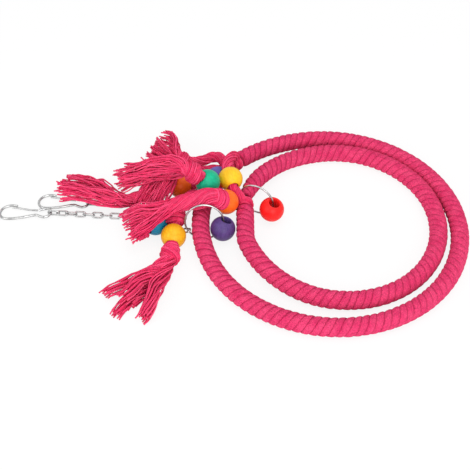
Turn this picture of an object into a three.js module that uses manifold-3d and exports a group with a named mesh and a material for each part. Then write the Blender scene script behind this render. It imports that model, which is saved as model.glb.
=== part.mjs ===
// Bird rope ring: two nested rings of wound cotton rope, tied together at their
// joints, with knotted and frayed cord tails, wooden beads, wire loops, and two
// chains that end in wire snap hooks. It lies flat. Millimetres, +Z up.
import * as THREE from 'three';
import { mergeVertices } from 'three/addons/utils/BufferGeometryUtils.js';
import Module from 'manifold-3d';

const wasm = await Module();
wasm.setup();

// Wound rope of both rings
const ropeRadius = 9.4;
const ropeSides = 8;
const ribPitch = 7.5;
const ribDepth = 0.8;
const ribLean = 2.6;
const ropeEndRun = 18;
const boreRingEveryRibs = 5;
const coreRadius = 2.0;
const coreClearance = 0.6;
const seatGap = 0.35;

// Outer ring, centred on the working origin; its joint is open at the upper left
const outerRadius = 129;
const outerGapStartDeg = 133.6;
const outerGapEndDeg = 168.5;
const outerLift = 4.8;
const outerLiftCentreDeg = 165;
const outerLiftSpanDeg = 62;

// Inner ring, an oval nested in the outer one; its left side runs straight through its joint
const jointSpacing = 44.5;
const nestRight = 1.5;
const nestBack = 3.6;
const nestFront = 12.8;
const innerCentreX = 11.2;
const innerCentreY = (nestFront - nestBack) / 2;
const innerLeftBulge = 3.8;
const innerStraightX = jointSpacing - outerRadius;
const innerHalfDepth = outerRadius - 2 * ropeRadius - (nestFront + nestBack) / 2;
const innerHalfWidth = outerRadius - 2 * ropeRadius - nestRight - innerCentreX;
const innerLeftHalfWidth = innerCentreX - innerStraightX + innerLeftBulge;
const innerStraightBlend = 0.6;
const innerGapLowY = 18;
const innerLoopSlot = 5.9;
const innerLift = 4.8;
const innerLiftFlatDeg = 20;
const innerLiftSpanDeg = 60;

// Cord hitches round the core wires
const hitchRadius = 8.4;
const hitchLength = 10.8;
const hitchGroove = 1.0;
const hitchSegments = 10;
const innerHitchEndY = innerGapLowY + seatGap + hitchLength;
const innerGapHighY = innerHitchEndY + innerLoopSlot;

// Wooden beads
const beadRadius = 12.5;
const beadHoleRadius = 5.5;
const beadHoleRound = 0.7;
const beadArcPoints = 7;
const beadSegments = 14;
const threadRadius = 4.9;

// Cord tails and their frayed ends
const cordSides = 10;
const cordStep = 5.5;
const frayFlute = 0.12;
const frayTipDepth = 5;

// Bent wire: the two bead loops and the jump ring of the second chain
const wireRadius = 1.0;
const wireSides = 6;
const innerLoopRadius = 18;
const outerLoopRadius = 19.2;
const loopSegments = 26;
const loopFloorGap = 0.1;
const jumpRingRadius = 8;
const jumpRingSegments = 16;
const wireSlack = 0.45;

// Chain links
const linkWireRadius = 0.95;
const linkWireSides = 5;
const linkSegments = 10;
const linkPitch = 9;
const linkHalfWidth = 2.5;
const linkRollDeg = 45;
const linkRollBlend = 5;
const lastLinkZ = 3.65;
const risingLinkZ = 3.3;
const chainRestZ = 2.9;

// Snap hooks, with the eye's middle at their own origin and the nose towards -X
const hookWireRadius = 1.1;
const gateWireRadius = 0.95;
const hookSteps = 40;
const gateSteps = 10;
const hookPitchDeg = 2.6;
const hookEyeZ = 3.5;

// Materials
function makeFinish(color, roughness, metalness) {
  return new THREE.MeshStandardMaterial({ color, roughness, metalness });
}

const cottonPink = makeFinish('#e23a72', 0.92, 0);
const brightSteel = makeFinish('#c9c9cb', 0.28, 1);
const beadFinish = {
  red: makeFinish('#e5301f', 0.45, 0),
  purple: makeFinish('#57397f', 0.5, 0),
  yellow: makeFinish('#f4c41c', 0.45, 0),
  teal: makeFinish('#2fae93', 0.45, 0),
  violet: makeFinish('#5a58a8', 0.5, 0),
  orange: makeFinish('#f4701f', 0.45, 0),
  blue: makeFinish('#2a84a8', 0.5, 0),
};

const toy = new THREE.Group();

const vec = (x, y, z) => new THREE.Vector3(x, y, z);
const rad = THREE.MathUtils.degToRad;

function addMesh(name, geometry, material, parent = toy) {
  const mesh = new THREE.Mesh(geometry, material);
  mesh.name = name;
  parent.add(mesh);
  return mesh;
}

// Joins rings of equally many points into one closed skin
function skinRings(rings, closed) {
  const sides = rings[0].length;
  const positions = rings.flat().flatMap((point) => [point.x, point.y, point.z]);
  const index = [];
  const spans = closed ? rings.length : rings.length - 1;
  for (let ring = 0; ring < spans; ring += 1) {
    const here = ring * sides;
    const there = ((ring + 1) % rings.length) * sides;
    for (let side = 0; side < sides; side += 1) {
      const next = (side + 1) % sides;
      index.push(here + side, here + next, there + next);
      index.push(here + side, there + next, there + side);
    }
  }
  return { positions, index, sides };
}

function toGeometry({ positions, index }) {
  const geometry = new THREE.BufferGeometry();
  geometry.setAttribute('position', new THREE.Float32BufferAttribute(positions, 3));
  geometry.setIndex(index);
  return geometry;
}

// Closes one end of a skin with a fan about a middle point
function capRing(skin, firstVertex, middle, facesBack) {
  const centre = skin.positions.length / 3;
  skin.positions.push(middle.x, middle.y, middle.z);
  for (let side = 0; side < skin.sides; side += 1) {
    const a = firstVertex + side;
    const b = firstVertex + ((side + 1) % skin.sides);
    if (facesBack) skin.index.push(centre, b, a);
    else skin.index.push(centre, a, b);
  }
}

// A level frame at a point of a path: side lies flat, up is as near +Z as it can be
function levelFrame(tangent) {
  const side = vec(0, 0, 1).cross(tangent).normalize();
  const up = tangent.clone().cross(side).normalize();
  return { side, up };
}

function toManifold(geometry) {
  const bare = geometry.index ? geometry.clone() : geometry;
  bare.deleteAttribute('normal');
  bare.deleteAttribute('uv');
  const merged = mergeVertices(bare, 1e-4);
  const vertProperties = new Float32Array(merged.attributes.position.array);
  const triVerts = new Uint32Array(merged.index.array);
  return new wasm.Manifold(new wasm.Mesh({ numProp: 3, vertProperties, triVerts }));
}

function fromManifold(solid) {
  const mesh = solid.getMesh();
  return toGeometry({ positions: Array.from(mesh.vertProperties), index: Array.from(mesh.triVerts) });
}

// Unites the parts of one cord and keeps the passage of each core wire through its hitches open
function uniteCord(pieces, passages) {
  const whole = pieces.map(toManifold).reduce((sum, piece) => sum.add(piece));
  return fromManifold(passages.map(toManifold).reduce((rest, passage) => rest.subtract(passage), whole));
}

// Rope axis height at rest: the lowest two corners of the section lie on the floor
const sectionTurn = Math.PI / ropeSides;
const ropeRestZ = ropeRadius * Math.cos(sectionTurn);

// A hump that is flat for a while and then falls off as a cosine
function liftShare(offDeg, flatDeg, spanDeg) {
  const nearest = THREE.MathUtils.euclideanModulo(offDeg + 180, 360) - 180;
  const past = Math.max(0, Math.abs(nearest) - flatDeg);
  return past >= spanDeg ? 0 : 0.5 * (1 + Math.cos((Math.PI * past) / spanDeg));
}

function outerPoint(angleDeg) {
  const lift = outerLift * liftShare(angleDeg - outerLiftCentreDeg, 0, outerLiftSpanDeg);
  const angle = rad(angleDeg);
  return vec(outerRadius * Math.cos(angle), outerRadius * Math.sin(angle), ropeRestZ + lift);
}

function innerPoint(angleDeg) {
  const angle = rad(angleDeg);
  const halfWidth = Math.cos(angle) > 0 ? innerHalfWidth : innerLeftHalfWidth;
  const ovalX = innerCentreX + halfWidth * Math.cos(angle);
  const past = (ovalX - innerStraightX) / innerStraightBlend;
  const eased = past > 30 ? ovalX : innerStraightX + innerStraightBlend * Math.log1p(Math.exp(past));
  const lift = innerLift * liftShare(angleDeg - 180, innerLiftFlatDeg, innerLiftSpanDeg);
  return vec(eased, innerCentreY + innerHalfDepth * Math.sin(angle), ropeRestZ + lift);
}

const innerAngleAtY = (y) => 180 - THREE.MathUtils.radToDeg(Math.asin((y - innerCentreY) / innerHalfDepth));

// A table of equal steps of length along a ring from one angle on to another
function arcWalker(pointAt, startDeg, endDeg) {
  const count = 720;
  const lengths = [0];
  let last = pointAt(startDeg);
  for (let step = 1; step <= count; step += 1) {
    const next = pointAt(startDeg + ((endDeg - startDeg) * step) / count);
    lengths.push(lengths[step - 1] + next.distanceTo(last));
    last = next;
  }
  const total = lengths[count];
  const angleAt = (distance) => {
    const goal = THREE.MathUtils.clamp(distance, 0, total);
    let step = lengths.findIndex((length) => length >= goal);
    step = Math.max(1, step);
    const share = (goal - lengths[step - 1]) / (lengths[step] - lengths[step - 1]);
    return startDeg + ((endDeg - startDeg) * (step - 1 + share)) / count;
  };
  const place = (distance) => pointAt(angleAt(distance));
  const tangent = (distance) => place(distance + 0.5).sub(place(distance - 0.5)).normalize();
  return { total, angleAt, place, tangent };
}

// One corner of the rope's section, at a radius, a turn about the axis and a distance along it
function ropeCorner(walker, distance, radius, turn, lean) {
  const along = distance + lean * Math.sin(turn);
  const centre = walker.place(along);
  const { side, up } = levelFrame(walker.tangent(along));
  const height = Math.max(radius * Math.sin(turn), -ropeRestZ);
  const flat = Math.sin(turn) < -Math.cos(sectionTurn) + 1e-6;
  const drop = flat ? -ropeRestZ : height;
  return centre.addScaledVector(side, radius * Math.cos(turn)).addScaledVector(up, drop);
}

function ropeRing(walker, distance, radius, lean, sides) {
  const ring = [];
  for (let corner = 0; corner < sides; corner += 1) {
    const turn = sectionTurn + (2 * Math.PI * corner) / sides;
    ring.push(ropeCorner(walker, distance, radius, turn, lean));
  }
  return ring;
}

// The wound rope: a ribbed tube with square ends and a bore for its core wire
function woundRope(pointAt, startDeg, endDeg) {
  const walker = arcWalker(pointAt, startDeg, endDeg);
  const wound = walker.total - 2 * ropeEndRun;
  const ribs = Math.round(wound / ribPitch);
  const pitch = wound / ribs;
  const trough = ropeRadius - ribDepth;
  const outside = [ropeRing(walker, 0, trough, 0, ropeSides)];
  for (let row = 0; row <= 2 * ribs; row += 1) {
    const fade = Math.min(1, row / 4, (2 * ribs - row) / 4);
    const radius = row % 2 ? ropeRadius : trough;
    outside.push(ropeRing(walker, ropeEndRun + (row * pitch) / 2, radius, ribLean * fade, ropeSides));
  }
  outside.push(ropeRing(walker, walker.total, trough, 0, ropeSides));
  const boreRings = Math.round(ribs / boreRingEveryRibs);
  const boreDegs = [];
  for (let ring = 0; ring <= boreRings; ring += 1) {
    boreDegs.push(walker.angleAt((walker.total * ring) / boreRings));
  }
  const bore = boreDegs.map((deg) => wireRing(pointAt, deg, coreRadius + coreClearance, ropeSides));
  const geometry = toGeometry(skinRings([...outside, ...bore.reverse()], true));
  return { geometry, boreDegs };
}

function circleRing(centre, side, up, radius, sides) {
  const ring = [];
  for (let corner = 0; corner < sides; corner += 1) {
    const turn = sectionTurn + (2 * Math.PI * corner) / sides;
    const point = centre.clone().addScaledVector(side, radius * Math.cos(turn));
    ring.push(point.addScaledVector(up, radius * Math.sin(turn)));
  }
  return ring;
}

function wireRing(pointAt, deg, radius, sides) {
  const tangent = pointAt(deg + 0.5).sub(pointAt(deg - 0.5)).normalize();
  const { side, up } = levelFrame(tangent);
  return circleRing(pointAt(deg), side, up, radius, sides);
}

// The steel wire inside a rope, one closed ring that bends with the bore and bridges the joint
function coreWire(pointAt, boreDegs, gapSteps) {
  const first = boreDegs[boreDegs.length - 1];
  const span = boreDegs[0] + 360 - first;
  const degs = [...boreDegs];
  for (let step = 1; step < gapSteps; step += 1) degs.push(first + (span * step) / gapSteps);
  return toGeometry(skinRings(degs.map((deg) => wireRing(pointAt, deg, coreRadius, ropeSides)), true));
}

const outerRope = woundRope(outerPoint, outerGapEndDeg, outerGapStartDeg + 360);
addMesh('outer_ring_rope', outerRope.geometry, cottonPink);
addMesh('outer_ring_core_wire', coreWire(outerPoint, outerRope.boreDegs, 12), brightSteel);
const innerRope = woundRope(innerPoint, innerAngleAtY(innerGapLowY), innerAngleAtY(innerGapHighY) + 360);
addMesh('inner_ring_rope', innerRope.geometry, cottonPink);
addMesh('inner_ring_core_wire', coreWire(innerPoint, innerRope.boreDegs, 4), brightSteel);

// A hitch: two turns of cord round a core wire, as a ring with a grooved rim
function hitchAt(centre, axis, length) {
  const hole = coreRadius + coreClearance;
  const half = length / 2;
  const rim = hitchRadius;
  const profile = [
    [hole, -half], [rim - 2.2, -half], [rim, -half * 0.72], [rim, -half * 0.32],
    [rim - hitchGroove, 0], [rim, half * 0.32], [rim, half * 0.72], [rim - 2.2, half],
    [hole, half], [hole, -half],
  ];
  const points = profile.map(([radius, height]) => new THREE.Vector2(radius, height));
  const geometry = new THREE.LatheGeometry(points, hitchSegments);
  geometry.applyQuaternion(new THREE.Quaternion().setFromUnitVectors(vec(0, 1, 0), axis));
  geometry.translate(centre.x, centre.y, centre.z);
  return geometry;
}

// The passage of a core wire through a hitch, a little longer than the hitch
function passageAt(centre, axis, length) {
  const hole = coreRadius + coreClearance;
  const half = length / 2 + 4;
  const profile = [[0, -half], [hole, -half], [hole, half], [0, half]];
  const geometry = new THREE.LatheGeometry(profile.map(([x, y]) => new THREE.Vector2(x, y)), hitchSegments);
  geometry.applyQuaternion(new THREE.Quaternion().setFromUnitVectors(vec(0, 1, 0), axis));
  geometry.translate(centre.x, centre.y, centre.z);
  return geometry;
}

// The tails' stops, their beads and the chains' routes are measured from the outer ring's left edge
const leftX = -outerRadius;
const fromLeft = ([x, y, z]) => vec(leftX + x, y, z);

// A cord tail: a skin along hand-chosen stops [x, y, z, half width, half height, fray]
function cordTail(stops) {
  const path = new THREE.CatmullRomCurve3(stops.map(fromLeft), false, 'centripetal');
  const rings = [];
  const spans = stops.length - 1;
  let lastFray = 0;
  for (let span = 0; span < spans; span += 1) {
    const [x0, y0, z0, wide0, high0, fray0 = 0] = stops[span];
    const [x1, y1, z1, wide1, high1, fray1 = 0] = stops[span + 1];
    const steps = Math.max(1, Math.round(vec(x0, y0, z0).distanceTo(vec(x1, y1, z1)) / cordStep));
    const lastStep = span === spans - 1 ? steps : steps - 1;
    for (let step = 0; step <= lastStep; step += 1) {
      const share = step / steps;
      const at = (span + share) / spans;
      const centre = path.getPoint(at);
      const tangent = path.getTangent(at);
      const { side, up } = levelFrame(tangent);
      const wide = THREE.MathUtils.lerp(wide0, wide1, share);
      const high = THREE.MathUtils.lerp(high0, high1, share);
      lastFray = THREE.MathUtils.lerp(fray0, fray1, share);
      rings.push(tailRing({ centre, side, up, tangent, wide, high, fray: lastFray, tip: false }));
    }
  }
  const skin = skinRings(rings, false);
  const lastRing = (rings.length - 1) * cordSides;
  const start = path.getPoint(0);
  const end = path.getPoint(1);
  const tipTangent = path.getTangent(1);
  if (lastFray > 0) fringeTip(skin, rings[rings.length - 1], lastRing, tipTangent);
  capRing(skin, 0, start, true);
  capRing(skin, lastRing, end, false);
  return toGeometry(skin);
}

// One section of a tail; fraying draws every other corner in, so bundles of yarn show
function tailRing({ centre, side, up, wide, high, fray }) {
  const ring = [];
  for (let corner = 0; corner < cordSides; corner += 1) {
    const turn = (2 * Math.PI * corner) / cordSides;
    const shrink = 1 - fray * frayFlute * (corner % 2 ? 2 : 0);
    const point = centre.clone().addScaledVector(side, shrink * wide * Math.cos(turn));
    ring.push(point.addScaledVector(up, shrink * high * Math.sin(turn)));
  }
  return ring;
}

// The frayed end: bundles run on past the grooves between them
function fringeTip(skin, ring, firstVertex, tangent) {
  ring.forEach((point, corner) => {
    const reach = corner % 2 ? -frayTipDepth : frayTipDepth;
    const moved = point.clone().addScaledVector(tangent, reach);
    skin.positions.splice(3 * (firstVertex + corner), 3, moved.x, moved.y, moved.z);
  });
}

// The frame of the outer joint: hitches, a bead and the jump ring sit at these angles
const degPerMm = 180 / (Math.PI * outerRadius);
const jumpSlot = 3.2;
const hitchDeg = (hitchLength + seatGap) * degPerMm * (outerRadius / (outerRadius - hitchRadius));
const tailHitchDeg = outerGapEndDeg - seatGap * degPerMm - hitchDeg / 2;
const jumpRingDeg = tailHitchDeg - hitchDeg / 2 - (jumpSlot * degPerMm) / 2;
const beadHitchDeg = jumpRingDeg - (jumpSlot * degPerMm) / 2 - hitchDeg / 2;
const ringBeadDeg = beadHitchDeg - hitchDeg / 2 - (beadRadius + seatGap) * degPerMm;
const farHitchDeg = ringBeadDeg - (beadRadius + seatGap) * degPerMm - hitchDeg / 2;
const tieHitchDeg = farHitchDeg - hitchDeg;

const outerAxisAt = (deg) => outerPoint(deg + 0.5).sub(outerPoint(deg - 0.5)).normalize();
const outerHitch = (deg) => hitchAt(outerPoint(deg), outerAxisAt(deg), hitchLength);
const outerPassage = (deg) => passageAt(outerPoint(deg), outerAxisAt(deg), hitchLength);

// Stops along a straight run through a bead, and the bead's own middle and axis
function beadRun(centre, direction) {
  const axis = vec(...direction).normalize();
  const reach = beadRadius + 1;
  const stop = (distance) => {
    const point = vec(...centre).addScaledVector(axis, distance);
    return [point.x, point.y, point.z, threadRadius, threadRadius];
  };
  const stops = [stop(-reach), stop(-reach / 2), stop(0), stop(reach / 2), stop(reach)];
  return { middle: fromLeft(centre), axis, stops };
}

const orangeNear = beadRun([25.5, 16.7, 24.5], [-0.35, -0.55, 0.76]);
const yellowTie = beadRun([29.7, 46.9, 27.4], [-0.26, 0.95, 0.14]);
const tealTop = beadRun([6.8, 35.5, 34.6], [-0.6, -0.15, 0.79]);
const orangeFar = beadRun([-22, 51.6, 12.7], [-0.99, -0.1, 0]);
const yellowLow = beadRun([-26.3, -19, 12.7], [-0.12, -0.99, -0.06]);
const blueLow = beadRun([-45, -1, 12.7], [-0.72, -0.69, 0]);

// The cord that ties the rings: from the inner hitch one end goes over the outer ring
// and frays, the other goes through a bead to a hitch on the outer ring
const innerHitchLength = hitchLength;
const innerHitchCentre = innerPoint(innerAngleAtY(innerGapLowY + seatGap + innerHitchLength / 2));
const innerHitch = hitchAt(innerHitchCentre, vec(0, 1, 0), innerHitchLength);
const innerPassage = passageAt(innerHitchCentre, vec(0, 1, 0), innerHitchLength);
const crossingTail = cordTail([
  [41.5, 26, 10.5, 4.6, 4.6], [36.2, 27, 7.6, 4.6, 4.6], ...orangeNear.stops,
  [18.6, 8, 37.6, 8.6, 8.4], [12.6, 9, 38.2, 9.4, 9], [6, 10, 36.6, 9.8, 9.2], [-0.5, 9.6, 34.8, 9.8, 9.2],
  [-9, 8.4, 33.8, 8.8, 8.4], [-19, 5.4, 33.8, 8.2, 7.4], [-29, 1, 33.4, 8, 6.6, 0.3],
  [-41, -4, 31.8, 12.5, 5.6, 1], [-53, -8, 27.6, 18, 5, 1], [-64, -11, 21.2, 23, 5, 1],
  [-73, -13, 15, 27, 5, 1],
]);
const tieTail = cordTail([
  [42.2, 24.4, 17.4, 4.6, 4.6], [38.8, 27, 24, 4.2, 4.2],
  ...yellowTie.stops,
  [27, 69.5, 29.4, 5.2, 5.2], [31, 80, 27.4, 5.2, 5.2],
  [34.4, 87.6, 22, 5, 5], [34.8, 88.6, 17, 4.6, 4.6],
]);
const tiePassages = [innerPassage, outerPassage(tieHitchDeg)];
const tieCord = uniteCord([innerHitch, crossingTail, tieTail, outerHitch(tieHitchDeg)], tiePassages);
addMesh('ring_tie_cord', tieCord, cottonPink);

// The cord of the lower tail: a knot, a bead and a long frayed end, and a short beaded end
const lowerTail = cordTail([
  [0, 32.5, 16, 4.8, 4.8], [-6.5, 32.5, 19, 5, 5], [-14.5, 25.5, 19.4, 5.8, 5.8],
  [-20.5, 14, 17.2, 8.4, 8.2], [-22.8, 4.6, 16.4, 11, 9], [-25.2, -1.8, 14, 6, 6], ...yellowLow.stops,
  [-28.8, -37, 11.6, 8.8, 8.8], [-30.5, -44, 10.8, 9.4, 9], [-33, -51, 10.2, 8, 7.6, 0.3],
  [-40, -64, 9.4, 17, 7, 1], [-54, -82, 8, 27, 6, 1], [-69, -99, 6.6, 34, 5, 1],
]);
const shortTail = cordTail([
  [0, 33.5, 9, 4.6, 4.6], [-6.4, 31.8, 8, 4.6, 4.6], [-18, 25.4, 9.2, 4.6, 4.6],
  [-28, 16, 11.6, 4.6, 4.6], ...blueLow.stops,
  [-57, -12.4, 10.6, 6.6, 6.6], [-60, -15.4, 9.6, 5.6, 5.6], [-62, -17.4, 9, 3, 3],
]);
const lowerCord = uniteCord([outerHitch(tailHitchDeg), lowerTail, shortTail], [outerPassage(tailHitchDeg)]);
addMesh('lower_tail_cord', lowerCord, cottonPink);

// The cord of the top tail: one end up through a bead to a knot and a long frayed end
// over the others, the other end through a bead to the far frayed end
const topTail = cordTail([
  [13.5, 44, 12, 4.6, 4.6], [16.6, 40.4, 16.6, 4.6, 4.6], ...tealTop.stops,
  [-3.5, 32.8, 46.8, 9.2, 9], [-9, 34.5, 48.8, 10.6, 9.6], [-16.5, 40, 49, 8, 7, 0.3],
  [-29, 45, 46.6, 11, 7.2, 1], [-48, 49, 40.6, 15, 6.6, 1], [-67, 52, 32.6, 20, 6, 1],
  [-81, 54, 25, 24, 5.6, 1],
]);
const farTail = cordTail([
  [4.5, 47, 12.8, 4.6, 4.6], [-2, 51, 12.8, 4.6, 4.6], ...orangeFar.stops,
  [-43, 47.6, 12.4, 7.2, 6.6], [-52, 43.4, 11.6, 6.4, 5.4], [-63, 37.6, 11.8, 6, 5.2],
  [-76, 30, 13, 7, 5.6, 0.3], [-89, 31.5, 15.2, 10, 6, 1], [-108, 39, 16, 15, 6, 1],
  [-127, 47, 15.5, 19, 5.6, 1], [-144, 52, 14, 22, 5, 1],
]);
const topCord = uniteCord([outerHitch(beadHitchDeg), topTail, farTail], [outerPassage(beadHitchDeg)]);
addMesh('top_tail_cord', topCord, cottonPink);

// The cord of the back tail: one end arches back to a frayed end, the other lies under the top tail
const backTail = cordTail([
  [24, 80.5, 15, 4.8, 4.8], [19.5, 87, 19, 5, 5], [11, 90, 18.4, 5.4, 5.4],
  [-2, 87.6, 14.6, 5.8, 5.8],
  [-14, 87, 14, 7.4, 7.2], [-22, 90, 14.4, 8.8, 8.4], [-28, 95.5, 14, 7.6, 6.8, 0.3],
  [-33, 102, 13, 15, 6.6, 1], [-39, 112, 11.4, 21, 6, 1], [-45, 121, 9.4, 25, 5, 1],
]);
const middleTail = cordTail([
  [22, 79.5, 10, 4.6, 4.6], [13, 80.5, 9, 4.6, 4.6], [0, 77.5, 10.4, 4.8, 4.8],
  [-14, 75, 15, 5.6, 5.6],
  [-25, 72.4, 19.4, 8, 7.6], [-31, 68, 24, 8.2, 7.2, 0.3], [-35, 59, 27.6, 9.6, 5.6, 1],
  [-40.5, 46, 26.8, 13, 4.8, 1], [-46, 34, 23.6, 15, 4.2, 1], [-50, 25, 20, 15.5, 4, 1],
]);
const backCord = uniteCord([outerHitch(farHitchDeg), backTail, middleTail], [outerPassage(farHitchDeg)]);
addMesh('back_tail_cord', backCord, cottonPink);

// Beads: a turned ball with a wide round-edged hole
function beadGeometry() {
  const reach = Math.acos((beadHoleRadius + beadHoleRound) / beadRadius);
  const profile = [];
  for (let step = 0; step < beadArcPoints; step += 1) {
    const angle = -reach + (2 * reach * step) / (beadArcPoints - 1);
    profile.push(new THREE.Vector2(beadRadius * Math.cos(angle), beadRadius * Math.sin(angle)));
  }
  const mouth = beadRadius * Math.sin(reach) - beadHoleRound;
  profile.push(new THREE.Vector2(beadHoleRadius, mouth));
  profile.push(new THREE.Vector2(beadHoleRadius, -mouth));
  profile.push(profile[0].clone());
  return new THREE.LatheGeometry(profile, beadSegments);
}

function addBead(name, centre, axis, finish) {
  const bead = addMesh(name, beadGeometry(), finish);
  bead.position.copy(centre);
  bead.quaternion.setFromUnitVectors(vec(0, 1, 0), axis);
  return bead;
}

addBead('orange_bead_near', orangeNear.middle, orangeNear.axis, beadFinish.orange);
addBead('yellow_bead_tie', yellowTie.middle, yellowTie.axis, beadFinish.yellow);
addBead('teal_bead', tealTop.middle, tealTop.axis, beadFinish.teal);
addBead('orange_bead_far', orangeFar.middle, orangeFar.axis, beadFinish.orange);
addBead('yellow_bead_low', yellowLow.middle, yellowLow.axis, beadFinish.yellow);
addBead('blue_bead', blueLow.middle, blueLow.axis, beadFinish.blue);
addBead('violet_bead', outerPoint(ringBeadDeg), outerAxisAt(ringBeadDeg), beadFinish.violet);

// A round wire loop that stands on the floor, in the plane of a level side and a rising direction
function addWireLoop(name, middle, sideways, rise, radius) {
  const side = vec(...sideways).normalize();
  const up = vec(...rise).normalize();
  const normal = side.clone().cross(up);
  const ring = new THREE.TorusGeometry(radius, wireRadius, wireSides, loopSegments);
  const loop = addMesh(name, ring, brightSteel);
  loop.position.set(middle.x, middle.y, radius * up.z + wireRadius + loopFloorGap);
  loop.quaternion.setFromRotationMatrix(new THREE.Matrix4().makeBasis(side, up, normal));
  const at = (deg) => loop.position.clone()
    .addScaledVector(side, radius * Math.cos(rad(deg))).addScaledVector(up, radius * Math.sin(rad(deg)));
  const along = (deg) => side.clone()
    .multiplyScalar(-Math.sin(rad(deg))).addScaledVector(up, Math.cos(rad(deg)));
  const inward = (deg) => loop.position.clone().sub(at(deg)).normalize();
  return { at, along, inward, normal, radius };
}

// A bead on a wire loop: it leans to the front and hangs outwards until its bore meets the wire
const beadLean = 2;

function addLoopBead(name, loop, deg, finish) {
  const mouth = beadRadius - 1.6;
  const bend = loop.radius - Math.sqrt(loop.radius ** 2 - mouth ** 2);
  const room = beadHoleRadius - wireRadius - seatGap;
  const outward = Math.sqrt(room ** 2 - beadLean ** 2) - bend;
  const centre = loop.at(deg).addScaledVector(loop.inward(deg), -outward);
  centre.addScaledVector(loop.normal, beadLean);
  addBead(name, centre, loop.along(deg), finish);
}

// The inner loop hangs on the inner core wire, in the slot between the hitch and the rope's end
const innerLoopHeading = vec(0.9, -0.436, 0).normalize();
const innerLoopCore = innerPoint(innerAngleAtY(innerHitchEndY + innerLoopSlot * 0.35));
const innerLoopRise = innerLoopRadius + wireRadius + loopFloorGap - innerLoopCore.z;
const innerLoopRoom = innerLoopRadius - wireRadius - coreRadius / innerLoopHeading.x - wireSlack;
const innerLoopReach = Math.sqrt(innerLoopRoom ** 2 - innerLoopRise ** 2);
const innerLoopMiddle = innerLoopCore.clone().addScaledVector(innerLoopHeading, innerLoopReach);
const innerLoop = addWireLoop('inner_bead_loop', innerLoopMiddle, innerLoopHeading, [0, 0, 1], innerLoopRadius);
addLoopBead('red_bead', innerLoop, -15, beadFinish.red);

// The outer loop goes round the outer rope and leans back a little
const outerLoopY = -6.4;
const outerLoopReach = 4;
const outerLoopMiddle = vec(leftX + outerLoopReach, outerLoopY, 0);
const outerLoop = addWireLoop('outer_bead_loop', outerLoopMiddle, [1, 0, 0], [0, 0.25, 0.968], outerLoopRadius);
addLoopBead('purple_bead', outerLoop, -20, beadFinish.purple);

// The jump ring that hangs the second chain on the outer core wire
const jumpCore = outerPoint(jumpRingDeg);
const jumpAxis = outerAxisAt(jumpRingDeg);
const jumpOut = vec(jumpCore.x, jumpCore.y, 0).normalize();
const jumpReach = jumpRingRadius - wireRadius - coreRadius - wireSlack;
const jumpRing = addMesh(
  'chain_jump_ring',
  new THREE.TorusGeometry(jumpRingRadius, wireRadius, wireSides, jumpRingSegments),
  brightSteel,
);
jumpRing.position.copy(jumpCore).addScaledVector(jumpOut, jumpReach);
jumpRing.quaternion.setFromUnitVectors(vec(0, 0, 1), jumpAxis);
const jumpPull = jumpRing.position.clone().addScaledVector(jumpOut, jumpRingRadius);

// One chain link: a round ring drawn out along X
const linkHalfLength = (linkPitch + 2 * linkWireRadius + wireSlack) / 2;

function linkGeometry() {
  const geometry = new THREE.TorusGeometry(linkHalfWidth, linkWireRadius, linkWireSides, linkSegments);
  const stretch = linkHalfLength - linkHalfWidth;
  const place = geometry.attributes.position;
  for (let vertex = 0; vertex < place.count; vertex += 1) {
    const x = place.getX(vertex);
    place.setX(vertex, x + Math.sign(x) * stretch);
  }
  return geometry;
}

// How far a link rolls about its length so that a wire it hangs on passes square through it
function rollFacing(along, wire) {
  const { side, up } = levelFrame(along);
  const roll = THREE.MathUtils.radToDeg(Math.atan2(-wire.dot(side), wire.dot(up)));
  return roll < linkRollDeg - 90 ? roll + 180 : roll > linkRollDeg + 90 ? roll - 180 : roll;
}

// A chain along a route from a wire it hangs on; gives the last link's far end and direction
function addChain(name, start, route, links, hungWire) {
  const points = [start, ...route.map(fromLeft)];
  const [before, last] = points.slice(-2);
  points.push(last.clone().addScaledVector(last.clone().sub(before).normalize(), links * linkPitch));
  const path = new THREE.CatmullRomCurve3(points, false, 'centripetal');
  path.arcLengthDivisions = 800;
  const total = path.getLength();
  const lead = linkHalfLength - linkWireRadius - wireRadius - wireSlack;
  const firstRoll = rollFacing(path.getTangentAt(lead / total), hungWire);
  const lastRoll = links % 2 ? 90 : 0;
  let far = null;
  for (let link = 0; link < links; link += 1) {
    const distance = lead + link * linkPitch;
    const centre = path.getPointAt(distance / total);
    const along = path.getTangentAt(distance / total);
    const { side, up } = levelFrame(along);
    const fromStart = Math.min(1, link / linkRollBlend);
    const fromEnd = Math.min(1, (links - 1 - link) / linkRollBlend);
    const settled = THREE.MathUtils.lerp(firstRoll, linkRollDeg, fromStart);
    const roll = rad(THREE.MathUtils.lerp(lastRoll, settled, fromEnd) + (link % 2 ? 90 : 0));
    const across = side.clone().multiplyScalar(Math.cos(roll)).addScaledVector(up, Math.sin(roll));
    const normal = along.clone().cross(across);
    const mesh = addMesh(`${name}_link_${String(link + 1).padStart(2, '0')}`, linkGeometry(), brightSteel);
    mesh.position.copy(centre);
    mesh.quaternion.setFromRotationMatrix(new THREE.Matrix4().makeBasis(along, across, normal));
    far = { point: centre.clone().addScaledVector(along, linkHalfLength), along };
  }
  return far;
}

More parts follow.
